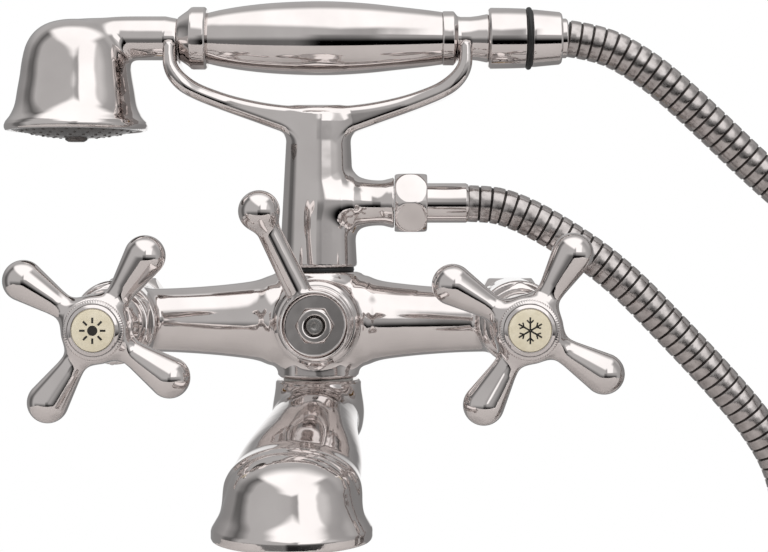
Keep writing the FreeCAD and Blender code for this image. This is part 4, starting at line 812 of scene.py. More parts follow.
def handle_form(side):
    """Distance to one cross handle."""
    centre = at(HANDLE_X[side], 0, 0)
    hub_plane = centre + OUT * LOBE_PLANE
    hub = turned_form(HUB_OUTLINE, centre, OUT)
    recess = turned_form(CAP_RECESS, centre, OUT)
    skirt = turned_form(SKIRT_HOLLOW, centre, OUT)
    reaches = (SPOKE_FROM, SPOKE_TO, LOBE_FROM, LOBE_REACH)

    def distance(points):
        casting = hub(points)
        for i in range(4):
            angle = radians(HANDLE_ANGLES[side] + 90 * i)
            ray = np.array([cos(angle), 0, sin(angle)])
            root, waist, neck, tip = [hub_plane + ray * reach for reach in reaches]
            arm = limb(points, root, waist, SPOKE_ROOT_RADIUS, SPOKE_WAIST_RADIUS)
            lobe = limb(points, neck, tip, SPOKE_WAIST_RADIUS, LOBE_RADIUS)
            casting = soft_union(casting, soft_union(arm, lobe, LOBE_FILLET), SPOKE_FILLET)
        casting = soft_cut(casting, recess(points), RECESS_EDGE)
        return soft_cut(casting, skirt(points), SKIRT_EDGE)

    return distance


for side in ("hot", "cold"):
    x = HANDLE_X[side]
    low = (x - HANDLE_HALF_SPAN, -104, -HANDLE_HALF_SPAN)
    high = (x + HANDLE_HALF_SPAN, -72, HANDLE_HALF_SPAN)
    handle = cast(side + "_cross_handle", handle_form(side), low, high, 0.6, side + "_valve")
    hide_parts(side + "_handle")
    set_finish(handle, "chrome")

# %% [markdown]
# ## Handle caps
#
# A chromed ring closes the hub's crown and holds the porcelain index. Its edge is beaded by a
# knurling wheel: the ring's rim moves in and out along a wave.

# %% Beaded ring, cap and index
BEADS = 72
BEAD_DEPTH = 0.22
BEAD_FROM = 10.0
INDEX_TOP = 64.2
INDEX_CROWN = 0.0045


def bead_notch(radius, angles):
    return BEAD_DEPTH * (1 - np.cos(BEADS * angles)) / 2 * (radius > BEAD_FROM)


def crown(radius):
    """How far out the index's slightly domed face stands."""
    return INDEX_TOP - INDEX_CROWN * radius**2


RING_OUTLINE = eased(
    [(8.95, 61.4), (8.95, 62.95), (9.85, 62.6), (10.25, 62.5), (10.7, 61.95), (10.3, 61.4)], 0.25
)
CAP_OUTLINE = eased(
    [(6.2, 58.0), (8.9, 58.0), (8.9, 63.0), (7.8, 63.55), (7.45, 63.5), (7.42, 61.4), (6.2, 61.4)], 0.2
)
INDEX_OUTLINE = [(0, 61.4), (7.38, 61.4), (7.38, 63.4), (7.2, crown(7.0) - 0.05)]
INDEX_OUTLINE += [(radius, crown(radius)) for radius in (6.8, 5.5, 4.0, 2.0, 0)]

for side in ("hot", "cold"):
    base = at(HANDLE_X[side], 0, 0)
    body = side + "_valve"
    ring = turned(side + "_beaded_ring", RING_OUTLINE, base, OUT, body, notch=bead_notch, segments=BEADS * 8)
    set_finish(ring, "chrome")
    cap = turned(side + "_cap_ring", CAP_OUTLINE, base, OUT, body)
    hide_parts(side + "_index_cap")
    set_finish(cap, "chrome")
    disc = turned(side + "_porcelain_index", INDEX_OUTLINE, base, OUT, body, sharp=50)
    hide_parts(side + "_index")
    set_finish(disc, "index_cream")

# %% [markdown]
# ## Pictograms on the index discs
#
# The discs carry a plain sun for hot and a plain snowflake for cold, painted in black enamel.
# They are drawn as thin strokes that lie a few hundredths of a millimetre proud of the glaze.

# %% Painted pictograms
PAINT_PROUD = 0.04
PAINT_DEPTH = 0.12


def stroke(a, b, width):
    """A straight stroke from a to b, each given as (right, up)."""
    a = np.array(a, float)
    b = np.array(b, float)
    along = (b - a) / np.linalg.norm(b - a)
    side = np.array([-along[1], along[0]]) * width / 2
    return [a - side, b - side, b + side, a + side]


def spot(radius, sides=28):
    return [(radius * cos(2 * pi * i / sides), radius * sin(2 * pi * i / sides)) for i in range(sides)]


def painted(name, strokes, base, body):
    """Thin plates over the index, one for each stroke's outline."""
    points = []
    faces = []
    for outline in strokes:
        count = len(outline)
        front = len(points)
        back = front + count
        places = []
        for u, v in outline:
            height = crown(np.hypot(u, v)) + PAINT_PROUD
            places.append(base + np.array([u, 0, v]) + OUT * height)
        points += places + [p - OUT * PAINT_DEPTH for p in places]
        faces.append(tuple(range(front, back)))
        faces.append(tuple(reversed(range(back, back + count))))
        for i in range(count):
            j = (i + 1) % count
            faces.append((front + j, front + i, back + i, back + j))
    return piece(name, points, faces, body, sharp=30)


# %% Sun and snowflake
SUN_DISC = 1.75
SUN_RAY_FROM = 2.6
SUN_RAY_TO = 4.5
SUN_RAY_WIDTH = 0.7
SNOW_ARM_FROM = 0.1
SNOW_ARM_TO = 4.6
SNOW_ARM_WIDTH = 0.58
SNOW_BRANCH_FROM = 2.5
SNOW_BRANCH_TO = 3.6
SNOW_BRANCH_ASIDE = 1.15
SNOW_BRANCH_WIDTH = 0.5


def sun():
    strokes = [spot(SUN_DISC)]
    for i in range(8):
        ray = np.array([cos(pi * i / 4), sin(pi * i / 4)])
        strokes.append(stroke(ray * SUN_RAY_FROM, ray * SUN_RAY_TO, SUN_RAY_WIDTH))
    return strokes


def snowflake():
    strokes = []
    for i in range(6):
        ray = np.array([cos(pi / 2 + pi * i / 3), sin(pi / 2 + pi * i / 3)])
        side = np.array([-ray[1], ray[0]])
        strokes.append(stroke(ray * SNOW_ARM_FROM, ray * SNOW_ARM_TO, SNOW_ARM_WIDTH))
        for sign in (-1, 1):
            tip = ray * SNOW_BRANCH_TO + side * sign * SNOW_BRANCH_ASIDE
            strokes.append(stroke(ray * SNOW_BRANCH_FROM, tip, SNOW_BRANCH_WIDTH))
    return strokes


sun_mark = painted("hot_sun_mark", sun(), at(-VALVE_X, 0, 0), "hot_valve")
snow_mark = painted("cold_snow_mark", snowflake(), at(VALVE_X, 0, 0), "cold_valve")
print("pictograms:", len(sun_mark.data.polygons), len(snow_mark.data.polygons))

# %% [markdown]
# ## Nuts
#
# A nut is a hexagon whose corners are turned off towards each face. On this tap they are turned
# and polished back so far that every flat ends up as a round spot. As a distance, a nut is the
# common part of six flats and a barrel, and the barrel's outline is worked out from the spot.

# %% Barrel that a nut is turned to
SPOT_MARGIN = 0.45
FACE_EDGE = 0.35
BORE_EDGE = 0.3


def barrel(flats, start, end):
    """Outline of the turned barrel that leaves a round spot on each flat."""
    middle = (start + end) / 2
    half = (end - start) / 2
    reach = half - SPOT_MARGIN
    outline = [(0, start), (flats / 2 - FACE_EDGE, start)]
    for away in np.linspace(-reach, reach, 33):
        spot_half = flats / sqrt(12) * sqrt(1 - (away / reach) ** 2)
        outline.append((sqrt(flats * flats / 4 + spot_half**2), middle + away))
    return outline + [(flats / 2 - FACE_EDGE, end), (0, end)]


# %% Nut maker
def nut(name, base, axis, body, flats, start, end, turn, step, bore=0, edge=0.35):
    """A nut by its width across flats, from start to end along the axis. turn is in degrees."""
    first, second = across(axis)
    turned_off = turned_form(barrel(flats, start, end), base, axis)

    def distance(points):
        relative = points - base
        u = relative @ first
        v = relative @ second
        casting = turned_off(points)
        for angle in np.radians([turn, turn + 60, turn + 120]):
            flat = np.abs(u * cos(angle) + v * sin(angle)) - flats / 2
            casting = soft_common(casting, flat, edge)
        return soft_cut(casting, np.hypot(u, v) - bore, BORE_EDGE) if bore else casting

    reach = flats / sqrt(3) * (1 - np.abs(axis))
    ends = np.array([base + axis * start, base + axis * end])
    made = cast(name, distance, ends.min(0) - reach, ends.max(0) + reach, step, body)
    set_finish(made, "chrome")
    return made


# %% Hose nut and union nuts
outlet = at(0, 0, OUTLET_HEIGHT)
hose_nut_sizes = {"flats": 22.0, "start": 28.9, "end": 41.2, "turn": 30, "bore": 7.65}
hose_hexagon = nut("hose_hexagon_nut", outlet, RIGHT, "body", step=0.35, **hose_nut_sizes)
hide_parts("hose_nut")

union_sizes = {"flats": 30.0, "start": 0.0, "end": 15.0, "turn": 30, "bore": 12.06}
for side in ("hot", "cold"):
    base = np.array([HANDLE_X[side], 0, 0])
    union = nut(side + "_union_hexagon", base, OUT, "body", step=0.55, **union_sizes)
    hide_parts(side + "_union_nut")

# %% [markdown]
# ## Valve headworks
#
# Behind each handle sits the headwork: a hexagon for the spanner, a rounded shoulder and a
# plain neck that goes up inside the handle's skirt. Only the turned front and the hexagon show.

# %% Headworks
NECK_OUTLINE = eased(
    [(0, 23.8), (12.0, 23.8), (12.0, 24.6), (11.2, 28.6), (9.2, 30.8), (7.7, 31.4), (7.6, 36.0), (0, 36.0)],
    0.9,
)
headwork_sizes = {"flats": 27.0, "start": 17.0, "end": 24.0, "turn": 0}
for side in ("hot", "cold"):
    base = at(HANDLE_X[side], 0, 0)
    nut(side + "_headwork_hexagon", base, OUT, "body", step=0.45, **headwork_sizes)
    neck = turned(side + "_headwork_neck", NECK_OUTLINE, base, OUT, "body")
    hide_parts(side + "_headwork")
    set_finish(neck, "chrome")

# %% [markdown]
# ## Diverter
#
# A lever with a ball switches the water from the spout to the handset. It leans to the left,
# which is the spout's side. Its hub is a shallow dish with a small nut in the middle.

# %% Diverter
GLAND_OUTLINE = eased(
    [(0, 14.0), (11.0, 14.0), (11.0, 20.5), (15.5, 20.5), (15.5, 23.4)]
    + [(14.4, 24.5), (13.6, 24.6), (13.6, 27.0), (13.0, 27.6), (0, 27.6)],
    0.4,
)
gland = turned("diverter_gland_ring", GLAND_OUTLINE, CENTRE, OUT, "body")
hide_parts("diverter_gland")
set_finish(gland, "chrome")

# %% Lever
LEVER_HUB = [(0, 28.0), (12.4, 28.0), (12.9, 28.6), (12.9, 37.0), (12.5, 37.8), (11.9, 38.0), (0, 38.0)]
LEVER_DISH = [(0, 34.2), (11.1, 34.2), (11.5, 34.7), (11.8, 38.2), (11.8, 42.0), (0, 42.0)]
LEVER_LEAN = radians(90 + 25.7)
LEVER_WAY = np.array([cos(LEVER_LEAN), 0, sin(LEVER_LEAN)])
LEVER_ROOT_OUT = 33.4
LEVER_ROOT_REACH = 10.0
BALL_OUT = 38.0
BALL_REACH = 45.7
BALL_RADIUS = 7.5
LEVER_ROOT = CENTRE + OUT * LEVER_ROOT_OUT + LEVER_WAY * LEVER_ROOT_REACH
BALL_CENTRE = CENTRE + OUT * BALL_OUT + LEVER_WAY * BALL_REACH
LEVER_ROOT_RADIUS = 4.8
LEVER_NECK_RADIUS = 4.2
LEVER_NECK = LEVER_ROOT + (BALL_CENTRE - LEVER_ROOT) * 0.9
BALL_FILLET = 2.4
LEVER_HUB_FILLET = 1.5
DISH_EDGE = 0.4
lever_hub = turned_form(LEVER_HUB, CENTRE, OUT)
lever_dish = turned_form(LEVER_DISH, CENTRE, OUT)


def lever_distance(points):
    arm = limb(points, LEVER_ROOT, LEVER_NECK, LEVER_ROOT_RADIUS, LEVER_NECK_RADIUS)
    ball = np.sqrt(((points - BALL_CENTRE) ** 2).sum(1)) - BALL_RADIUS
    casting = soft_union(arm, ball, BALL_FILLET)
    casting = soft_union(casting, lever_hub(points), LEVER_HUB_FILLET)
    return soft_cut(casting, lever_dish(points), DISH_EDGE)


lever = cast("diverter_ball_lever", lever_distance, (-29, -87, -14), (14, -67, 50), 0.42, "diverter")
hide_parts("diverter_lever")
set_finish(lever, "chrome")

# %% Lever nut and stem end
lever_nut_sizes = {"flats": 12.4, "start": 34.2, "end": 39.1, "turn": 30, "bore": 3.9}
lever_nut = nut("lever_hexagon_nut", CENTRE, OUT, "diverter", step=0.22, edge=0.2, **lever_nut_sizes)
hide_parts("diverter_nut")
STEM_OUTLINE = eased(
    [(0, 34.4), (3.8, 34.4), (3.8, 36.6), (3.3, 37.2), (3.1, 38.1)]
    + [(2.6, 38.5), (1.4, 38.5), (1.0, 38.1), (0, 38.05)],
    0.3,
)
stem_end = turned("diverter_stem_end", STEM_OUTLINE, CENTRE, OUT, "diverter")
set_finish(stem_end, "steel")

# %% [markdown]
# ## Handset
#
# The head is one casting: a bell and the pipe that carries it, joined in a soft elbow. Everything
# behind it is turned: a collar, the barrel-shaped grip, a second collar with a waist that rests
# in the fork, the union and the hose's conical nut.

# %% Handset head
HEAD_X = -92.0
HEAD_LINE = flowing(
    [(0, 114.3), (6.5, 113.7), (11.8, 112.0), (15.9, 108.9), (18.7, 104.4), (20.2, 98.8)]
    + [(21.1, 92.5), (22.0, 87.3), (23.0, 81.6), (24.6, 77.8), (26.5, 75.2)]
)
HEAD_OUTLINE = [*HEAD_LINE, (27.0, 73.9), (27.0, 72.9), (26.6, 72.1), (25.7, 71.8), (0, 71.8)]
HEAD_HOLLOW = [(0, 60), (24.4, 60), (24.3, 75.2), (0, 75.2)]
ELBOW_FILLET = 3.2
HEAD_RIM_EDGE = 0.5
PIPE_LINE = flowing([(5.0, 0), (6.7, 5.0), (7.8, 11.0), (8.25, 17.0), (8.35, 23.0)])
PIPE_OUTLINE = [(0, 0), *PIPE_LINE, (8.35, 34.0), (7.6, 37.8), (7.4, 38.6), (0, 39.0)]
head_bell = turned_form(HEAD_OUTLINE, at(HEAD_X, 0, 0), UP)
head_pipe = turned_form(PIPE_OUTLINE, at(HEAD_X, 0, HANDSET_HEIGHT), RIGHT)
head_hollow = turned_form(HEAD_HOLLOW, at(HEAD_X, 0, 0), UP)


def head_distance(points):
    casting = soft_union(head_bell(points), head_pipe(points), ELBOW_FILLET)
    return soft_cut(casting, head_hollow(points), HEAD_RIM_EDGE)


head = cast("handset_bell_head", head_distance, (-120, -68, 71), (-52, -12, 118), 0.6, "handset")
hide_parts("handset_head")
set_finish(head, "chrome")

# %% Spray face
FACE_OUTLINE = eased(
    [(0, 75.4), (24.2, 75.4), (24.2, 72.6), (22.5, 72.0), (17.0, 70.6), (10.0, 69.5)]
    + [(5.2, 69.2), (4.2, 69.3), (4.2, 68.4), (3.0, 67.7), (0, 67.6)],
    0.4,
)
face = turned("spray_face", FACE_OUTLINE[::-1], at(HEAD_X, 0, 0), UP, "handset")
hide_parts("spray_plate", "spray_screw")
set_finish(face, "spray_face")

# %% Spray nozzles
# Each ring of nozzles: its radius, their number, and the height of the face there.
JET_RINGS = ((8.5, 10, 69.4), (12.6, 16, 69.9), (16.7, 22, 70.6), (20.6, 28, 71.55))
# A nozzle's radius, and how far below the face.
JET_OUTLINE = ((0.62, -0.4), (0.58, 0.16), (0.42, 0.24), (0.2, 0.24), (0.18, 0.05))
JET_SIDES = 10


def jets():
    """Small nozzles that stand a little proud of the spray face."""
    points = []
    faces = []
    turns = 2 * pi * np.arange(JET_SIDES) / JET_SIDES
    for radius, count, height in JET_RINGS:
        for angle in 2 * pi * np.arange(count) / count:
            foot = at(HEAD_X + radius * cos(angle), radius * sin(angle), height)
            first = len(points)
            for r, drop in JET_OUTLINE:
                points += [foot + np.array([r * cos(t), r * sin(t), -drop]) for t in turns]
            for a in range(first, len(points) - JET_SIDES, JET_SIDES):
                for k in range(JET_SIDES):
                    m = (k + 1) % JET_SIDES
                    faces.append((a + k, a + JET_SIDES + k, a + JET_SIDES + m, a + m))
            faces.append(tuple(reversed(range(len(points) - JET_SIDES, len(points)))))
    return piece("spray_nozzles", points, faces, "handset", sharp=40)


spray_nozzles = jets()
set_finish(spray_nozzles, "spray_face")
print("nozzles:", sum(count for _, count, _ in JET_RINGS))

# %% Turned pieces of the handset
HANDSET_AXIS = at(0, 0, HANDSET_HEIGHT)
GRIP_LINE = flowing(
    [(9.6, -42.2), (10.9, -36.5), (12.3, -28.0), (13.4, -17.5), (14.0, -5.0)]
    + [(14.0, 6.0), (13.3, 18.0), (12.1, 29.5), (10.9, 40.0), (10.0, 46.9)]
)
FRONT_COLLAR = [(6.4, -53.2), (7.9, -53.2), (8.8, -52.0), (10.6, -49.4), (11.7, -48.2)]
FRONT_COLLAR += [(11.9, -47.4), (11.9, -43.0), (11.2, -42.2), (6.4, -42.2)]
REAR_COLLAR = [(6.4, 46.9), (9.9, 46.9), (10.3, 47.4), (10.3, 51.2), (9.9, 51.6), (8.4, 52.8)]
REAR_COLLAR += [(8.15, 54.0), (8.15, 57.4), (8.5, 60.4), (9.3, 64.4), (6.4, 64.4)]
UNION = [(6.4, 64.4), (10.8, 64.4), (11.6, 65.2), (11.5, 72.0), (11.3, 78.3), (10.8, 78.9), (6.4, 78.9)]
CONE_NUT = [(8.0, 80.7), (10.6, 80.7), (10.95, 81.2), (10.9, 82.2), (10.0, 91.4)]
CONE_NUT += [(9.4, 92.2), (7.6, 92.2), (7.6, 90.5)]
END_RING = [(5.0, 91.0), (7.4, 91.0), (7.55, 91.4), (7.55, 93.9), (7.1, 94.4), (5.0, 94.4)]
# Name, the node it stands for, outline, and how far its corners are eased.
HANDSET_PIECES = [
    ("grip_barrel", "grip", [(6.4, -42.2), *GRIP_LINE, (6.4, 46.9)], 0.15),
    ("grip_front_ring", "front_collar", FRONT_COLLAR, 0.6),
    ("grip_rear_ring", "rear_collar", REAR_COLLAR, 0.6),
    ("handset_union_ring", "handset_union", UNION, 0.5),
    ("hose_cone_nut", "cone_nut", CONE_NUT, 0.5),
    ("hose_end_ring", "hose_top_ferrule", END_RING, 0.35),
]
for name, node, outline, edge in HANDSET_PIECES:
    made = turned(name, eased(outline, edge), HANDSET_AXIS, RIGHT, "handset")
    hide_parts(node)
    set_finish(made, "chrome")

SEAL_RADIUS = 10.85
SEAL_THICKNESS = 1.05
SEAL_AT = 79.8
SEAL_OUTLINE = [
    (SEAL_RADIUS + SEAL_THICKNESS * cos(angle), SEAL_AT + SEAL_THICKNESS * sin(angle))
    for angle in np.linspace(0, 2 * pi, 21)
]
seal = turned("hose_black_seal", SEAL_OUTLINE, HANDSET_AXIS, RIGHT, "handset", sharp=None)
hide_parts("hose_seal")
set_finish(seal, "seal_rubber")

# %% Hose ferrule and the column's gasket
FERRULE_OUTLINE = eased(
    [(6.2, 40.6), (7.45, 40.6), (7.55, 41.2), (7.55, 55.9), (7.0, 56.9), (6.2, 56.9)], 0.4
)
ferrule = turned("hose_lower_ferrule", FERRULE_OUTLINE, outlet, RIGHT, "body")
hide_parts("hose_ferrule")
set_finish(ferrule, "chrome")

GASKET_OUTLINE = eased([(9, 18.5), (13.4, 18.5), (13.6, 19.3), (13.4, 20.3), (9, 20.3)], 0.4)
gasket = turned("column_gasket", GASKET_OUTLINE, CENTRE, UP, "body")
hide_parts("column_seal")
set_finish(gasket, "seal_rubber")

# %% [markdown]
# ## Finishes
#
# Each finish starts from the real one. Colours are written as the hex values that a picture
# would show, and one function turns them into the linear numbers that the renderer works in.


# %% Colour and node helpers
def colour(hex_value):
    parts = [int(hex_value[i : i + 2], 16) / 255 for i in (1, 3, 5)]
    return (*[c / 12.92 if c <= 0.04045 else ((c + 0.055) / 1.055) ** 2.4 for c in parts], 1.0)


def add_node(tree, kind, settings=None):
    """Adds a node. Each setting is a property, or an input with its value or the socket to link."""
    node = tree.nodes.new(kind)
    for key, value in (settings or {}).items():
        if isinstance(value, bpy.types.NodeSocket):
            tree.links.new(value, node.inputs[key])
        elif isinstance(key, str) and hasattr(node, key):
            setattr(node, key, value)
        else:
            node.inputs[key].default_value = value
    return node


def new_material(name):
    material = bpy.data.materials.new(name)
    material.use_nodes = True
    material.node_tree.nodes.clear()
    return material, material.node_tree


# %% Colour that varies with a noise
NOISE_RANGE = (0.3, 0.7)


def tinted(tree, noise, hex_shade, hex_light):
    """The shade's colour where the noise is low, and the light's where it is high."""
    ramp = add_node(tree, "ShaderNodeValToRGB", {"Fac": noise})
    stops = ramp.color_ramp.elements
    for stop, position, hex_value in zip(stops, NOISE_RANGE, (hex_shade, hex_light)):
        stop.position = position
        stop.color = colour(hex_value)
    return ramp.outputs["Color"]


print("a mid grey in linear numbers:", colour("#808080")[0])

# %% [markdown]
# ### Chrome plate
#
# Chrome is plated onto polished brass. It is a neutral metal, a touch warm, with almost no
# haze. The casting under it was polished by hand on a wheel, so its surface is never perfectly
# even: a very faint, broad bump makes the reflections swim a little, as they do in the
# photograph. The finest polishing marks are too small to see and only widen the highlight.


# %% Metal finishes
def metal(name, hex_light, hex_shade, haze, wave_mm, wave_height, grain_mm=1.0):
    """A metal whose colour, haze and surface vary a little, with waves of a real length."""
    material, tree = new_material(name)
    place = add_node(tree, "ShaderNodeTexCoord").outputs["Object"]
    settings = {"Vector": place, "Scale": 1000 / wave_mm, "Detail": 2.0}
    waves = add_node(tree, "ShaderNodeTexNoise", settings).outputs["Fac"]
    settings = {"Vector": place, "Scale": 1000 / grain_mm, "Detail": 3.0}
    grain = add_node(tree, "ShaderNodeTexNoise", settings).outputs["Fac"]
    low, high = NOISE_RANGE
    settings = {"Value": grain, "From Min": low, "From Max": high, "To Min": haze * 0.7, "To Max": haze * 1.4}
    spread = add_node(tree, "ShaderNodeMapRange", settings)
    bump = add_node(tree, "ShaderNodeBump", {"Distance": wave_height, "Height": waves})
    settings = {
        "Base Color": tinted(tree, waves, hex_shade, hex_light),
        "Metallic": 1.0,
        "Roughness": spread.outputs["Result"],
        "Normal": bump.outputs["Normal"],
    }
    shader = add_node(tree, "ShaderNodeBsdfPrincipled", settings)
    add_node(tree, "ShaderNodeOutputMaterial", {"Surface": shader.outputs["BSDF"]})
    return material


# %% Metals in use
# Name, light, shade, haze, length of the waves in mm, their height in m, grain in mm.
cast_chrome = metal("polished_chrome_plate", "#E6E0DE", "#DDD7D5", 0.05, 14.0, 0.00009)
turned_chrome = metal("turned_chrome_plate", "#E6E0DE", "#DDD7D5", 0.045, 12.0, 0.00003)
strip_chrome = metal("chromed_hose_strip", "#CBC5C3", "#AFA9A7", 0.2, 3.0, 0.00003, 0.4)
# The fold's material: a darker colour that paints the shade in the hose's groove.
painted_fold_shade = metal("hose_fold_painted_shade", "#4A4644", "#2B2827", 0.4, 3.0, 0.00002, 0.5)
spray_chrome = metal("dull_spray_face", "#827D7B", "#6C6765", 0.28, 5.0, 0.00002, 0.4)
machined_brass = metal("machined_brass", "#C9A86A", "#B8965A", 0.26, 6.0, 0.00001, 0.6)
plain_steel = metal("stainless_steel", "#A9A7A5", "#8F8D8B", 0.3, 4.0, 0.00001, 0.5)
print("metal finishes:", len(bpy.data.materials))

# %% [markdown]
# ### Rubber, porcelain, enamel and plastic
#
# These don't mirror the room: light enters them and comes back in their own colour, with a soft
# gloss on top. The porcelain index has a clear glaze, so it gets a coat over its cream body.


# %% Other finishes
def solid(name, hex_light, hex_shade, roughness, grain_mm, grain_height, glaze=0.0):
    """A non-metal with a little colour variation and grain of a real size."""
    material, tree = new_material(name)
    place = add_node(tree, "ShaderNodeTexCoord").outputs["Object"]
    settings = {"Vector": place, "Scale": 1000 / grain_mm, "Detail": 3.0}
    grain = add_node(tree, "ShaderNodeTexNoise", settings).outputs["Fac"]
    bump = add_node(tree, "ShaderNodeBump", {"Distance": grain_height, "Height": grain})
    settings = {
        "Base Color": tinted(tree, grain, hex_shade, hex_light),
        "Roughness": roughness,
        "Normal": bump.outputs["Normal"],
        "Coat Weight": glaze,
        "Coat Roughness": 0.05,
    }
    shader = add_node(tree, "ShaderNodeBsdfPrincipled", settings)
    add_node(tree, "ShaderNodeOutputMaterial", {"Surface": shader.outputs["BSDF"]})
    return material


# %% Other finishes in use
# Name, light, shade, roughness, grain in mm, its height in m, glaze.
black_rubber = solid("nitrile_seal_rubber", "#1C1C1C", "#121212", 0.42, 0.5, 0.00002)
porcelain = solid("glazed_cream_porcelain", "#DDD4BE", "#D3C9B0", 0.25, 3.0, 0.000005, 0.6)
black_enamel = solid("black_index_enamel", "#24211D", "#1A1815", 0.3, 1.0, 0.000005, 0.3)
alumina = solid("lapped_alumina_ceramic", "#EFEDE7", "#E6E3DC", 0.25, 1.0, 0.00001)
acetal = solid("moulded_acetal", "#E3E2DE", "#DAD9D4", 0.45, 1.5, 0.00002)
print("finishes in all:", len(bpy.data.materials))

# %% [markdown]
# ## Which piece has which finish
#
# The pieces carry the name of their finish from the construction record, so the finish can be
# handed out by that name. The castings get the hand-polished chrome, and the hose gets two
# materials: the strip's chrome, and a painted shade on the faces of its fold.

# %% Hand out the finishes
FINISH_OF_SLOT = {
    "chrome": turned_chrome,
    "hose_steel": strip_chrome,
    "brass": machined_brass,
    "steel": plain_steel,
    "seal_rubber": black_rubber,
    "ceramic": alumina,
    "index_cream": porcelain,
    "plastic_white": acetal,
    "spray_face": spray_chrome,
}
HAND_POLISHED = ("body_casting", "column_and_cradle", "spout_casting", "diverter_ball_lever")
HAND_POLISHED += ("handset_bell_head", "hot_cross_handle", "cold_cross_handle")


def dress(thing, material):
    thing.data.materials.clear()
    thing.data.materials.append(material)


slot_of_node = {part["node"]: part["material_slot"] for part in frame["record"]["subparts"]}
for name, thing in nodes.items():
    dress(thing, FINISH_OF_SLOT[slot_of_node[name]])
for thing in bpy.data.objects:
    if thing.type == "MESH" and thing.get("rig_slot"):
        dress(thing, FINISH_OF_SLOT[thing["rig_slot"]])
for name in HAND_POLISHED:
    dress(bpy.data.objects[name], cast_chrome)
for mark in (sun_mark, snow_mark):
    dress(mark, black_enamel)
    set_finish(mark, "seal_rubber")
# The groove's faces get the fold's painted shade.
hose.data.materials.append(painted_fold_shade)
hose.data.polygons.foreach_set("material_index", [int(dark) for dark in hose_fold_shade_faces])

# %% [markdown]
# ## Studio
#
# Chrome has no colour of its own: it shows the room. The photograph's room has a white sweep
# behind the tap, a large soft light overhead whose rim rises to both sides, a smaller one at the
# right of the camera, dark side walls, the dim room around the camera and a black gap over the
# table's front edge. The world holds that room as tones by direction. The camera itself sees
# only white.

# %% World and the tones of the room
# Each pair is a direction from front (-1) to back (1), and the tone seen there.
ROOM_LEFT = [(-1.0, 0.55), (-0.25, 0.55), (-0.1, 0.3), (0.05, 0.13), (0.26, 0.15)]
ROOM_LEFT += [(0.42, 0.31), (0.95, 0.29), (0.985, 1.0)]
ROOM_RIGHT = [(-1.0, 0.42), (-0.3, 0.5), (0.0, 0.42), (0.3, 0.34), (0.6, 0.26)]
ROOM_RIGHT += [(0.95, 0.24), (0.985, 1.0)]
CEILING_BEHIND = 0.2
SOFT_LIGHT = 1.35
WING_LIGHT = 0.75
PHOTOGRAPHER = 0.25
DIM_GAP = 0.16
DIFFUSE_LIGHT = 0.5

world = bpy.data.worlds.new("studio_room")
bpy.context.scene.world = world
world.use_nodes = True
room = world.node_tree
room.nodes.clear()
sight = add_node(room, "ShaderNodeTexCoord").outputs["Generated"]
toward = add_node(room, "ShaderNodeSeparateXYZ", {"Vector": sight}).outputs


def tones_from_front_to_back(stops):
    settings = {"Value": toward["Y"], "From Min": -1.0, "From Max": 1.0}
    place = add_node(room, "ShaderNodeMapRange", settings).outputs["Result"]
    ramp = add_node(room, "ShaderNodeValToRGB", {"Fac": place})
    while len(ramp.color_ramp.elements) < len(stops):
        ramp.color_ramp.elements.new(0.5)
    for stop, (y, tone) in zip(ramp.color_ramp.elements, stops):
        stop.position = 0.5 + y / 2
        stop.color = (tone, tone, tone, 1)
    return ramp.outputs["Color"]


print("tones of the room:", len(ROOM_LEFT), "left and", len(ROOM_RIGHT), "right")


# %% Soft edges between the room's areas
def soft_step(source, low, high):
    """A soft step from 0 to 1 while the source goes from low to high."""
    settings = {"interpolation_type": "SMOOTHSTEP", "Value": source, "From Min": low, "From Max": high}
    return add_node(room, "ShaderNodeMapRange", settings).outputs["Result"]


def both(a, b):
    return add_node(room, "ShaderNodeMath", {"operation": "MULTIPLY", 0: a, 1: b}).outputs["Value"]


def within(source, low, low_full, high_full, high):
    """A soft window: 1 between low_full and high_full, 0 beyond low and high."""
    return both(soft_step(source, low, low_full), soft_step(source, high, high_full))


def mixed(base, tone, share):
    """The base where the share is 0, and the tone where it is 1."""
    return add_node(room, "ShaderNodeMix", {"A": base, "B": tone, "Factor": share}).outputs["Result"]


# %% Areas of the room
# X is to the right, Y away from the camera and Z up, each as part of a direction of length 1.
RIM_SLOPE = 0.6
RIM_MIDDLE = 0.06
front = soft_step(toward["Y"], -0.2, -0.5)
behind = within(toward["Y"], 0.0, 0.3, 0.92, 0.96)
ceiling = both(behind, soft_step(toward["Z"], 0.1, 0.6))
photographer_across = within(toward["X"], -0.12, -0.02, 0.16, 0.24)
photographer = both(photographer_across, within(toward["Z"], -0.26, -0.2, 0.02, 0.16))
side_light = both(within(toward["X"], 0.19, 0.27, 0.66, 0.76), soft_step(toward["Z"], 0.11, 0.19))
wing_light = both(within(toward["X"], 0.66, 0.76, 0.93, 0.98), soft_step(toward["Z"], 0.08, 0.2))
gap = within(toward["Z"], -0.65, -0.6, -0.26, 0.05)

aside = add_node(room, "ShaderNodeMath", {"operation": "SUBTRACT", 0: toward["X"], 1: RIM_MIDDLE})
off_middle = add_node(room, "ShaderNodeMath", {"operation": "ABSOLUTE", 0: aside.outputs["Value"]})
rim = both(off_middle.outputs["Value"], RIM_SLOPE)
above_rim = add_node(room, "ShaderNodeMath", {"operation": "SUBTRACT", 0: toward["Z"], 1: rim})
top_light = both(soft_step(above_rim.outputs["Value"], 0.33, 0.55), soft_step(toward["Y"], 0.42, 0.0))
print("nodes for the areas:", len(room.nodes))

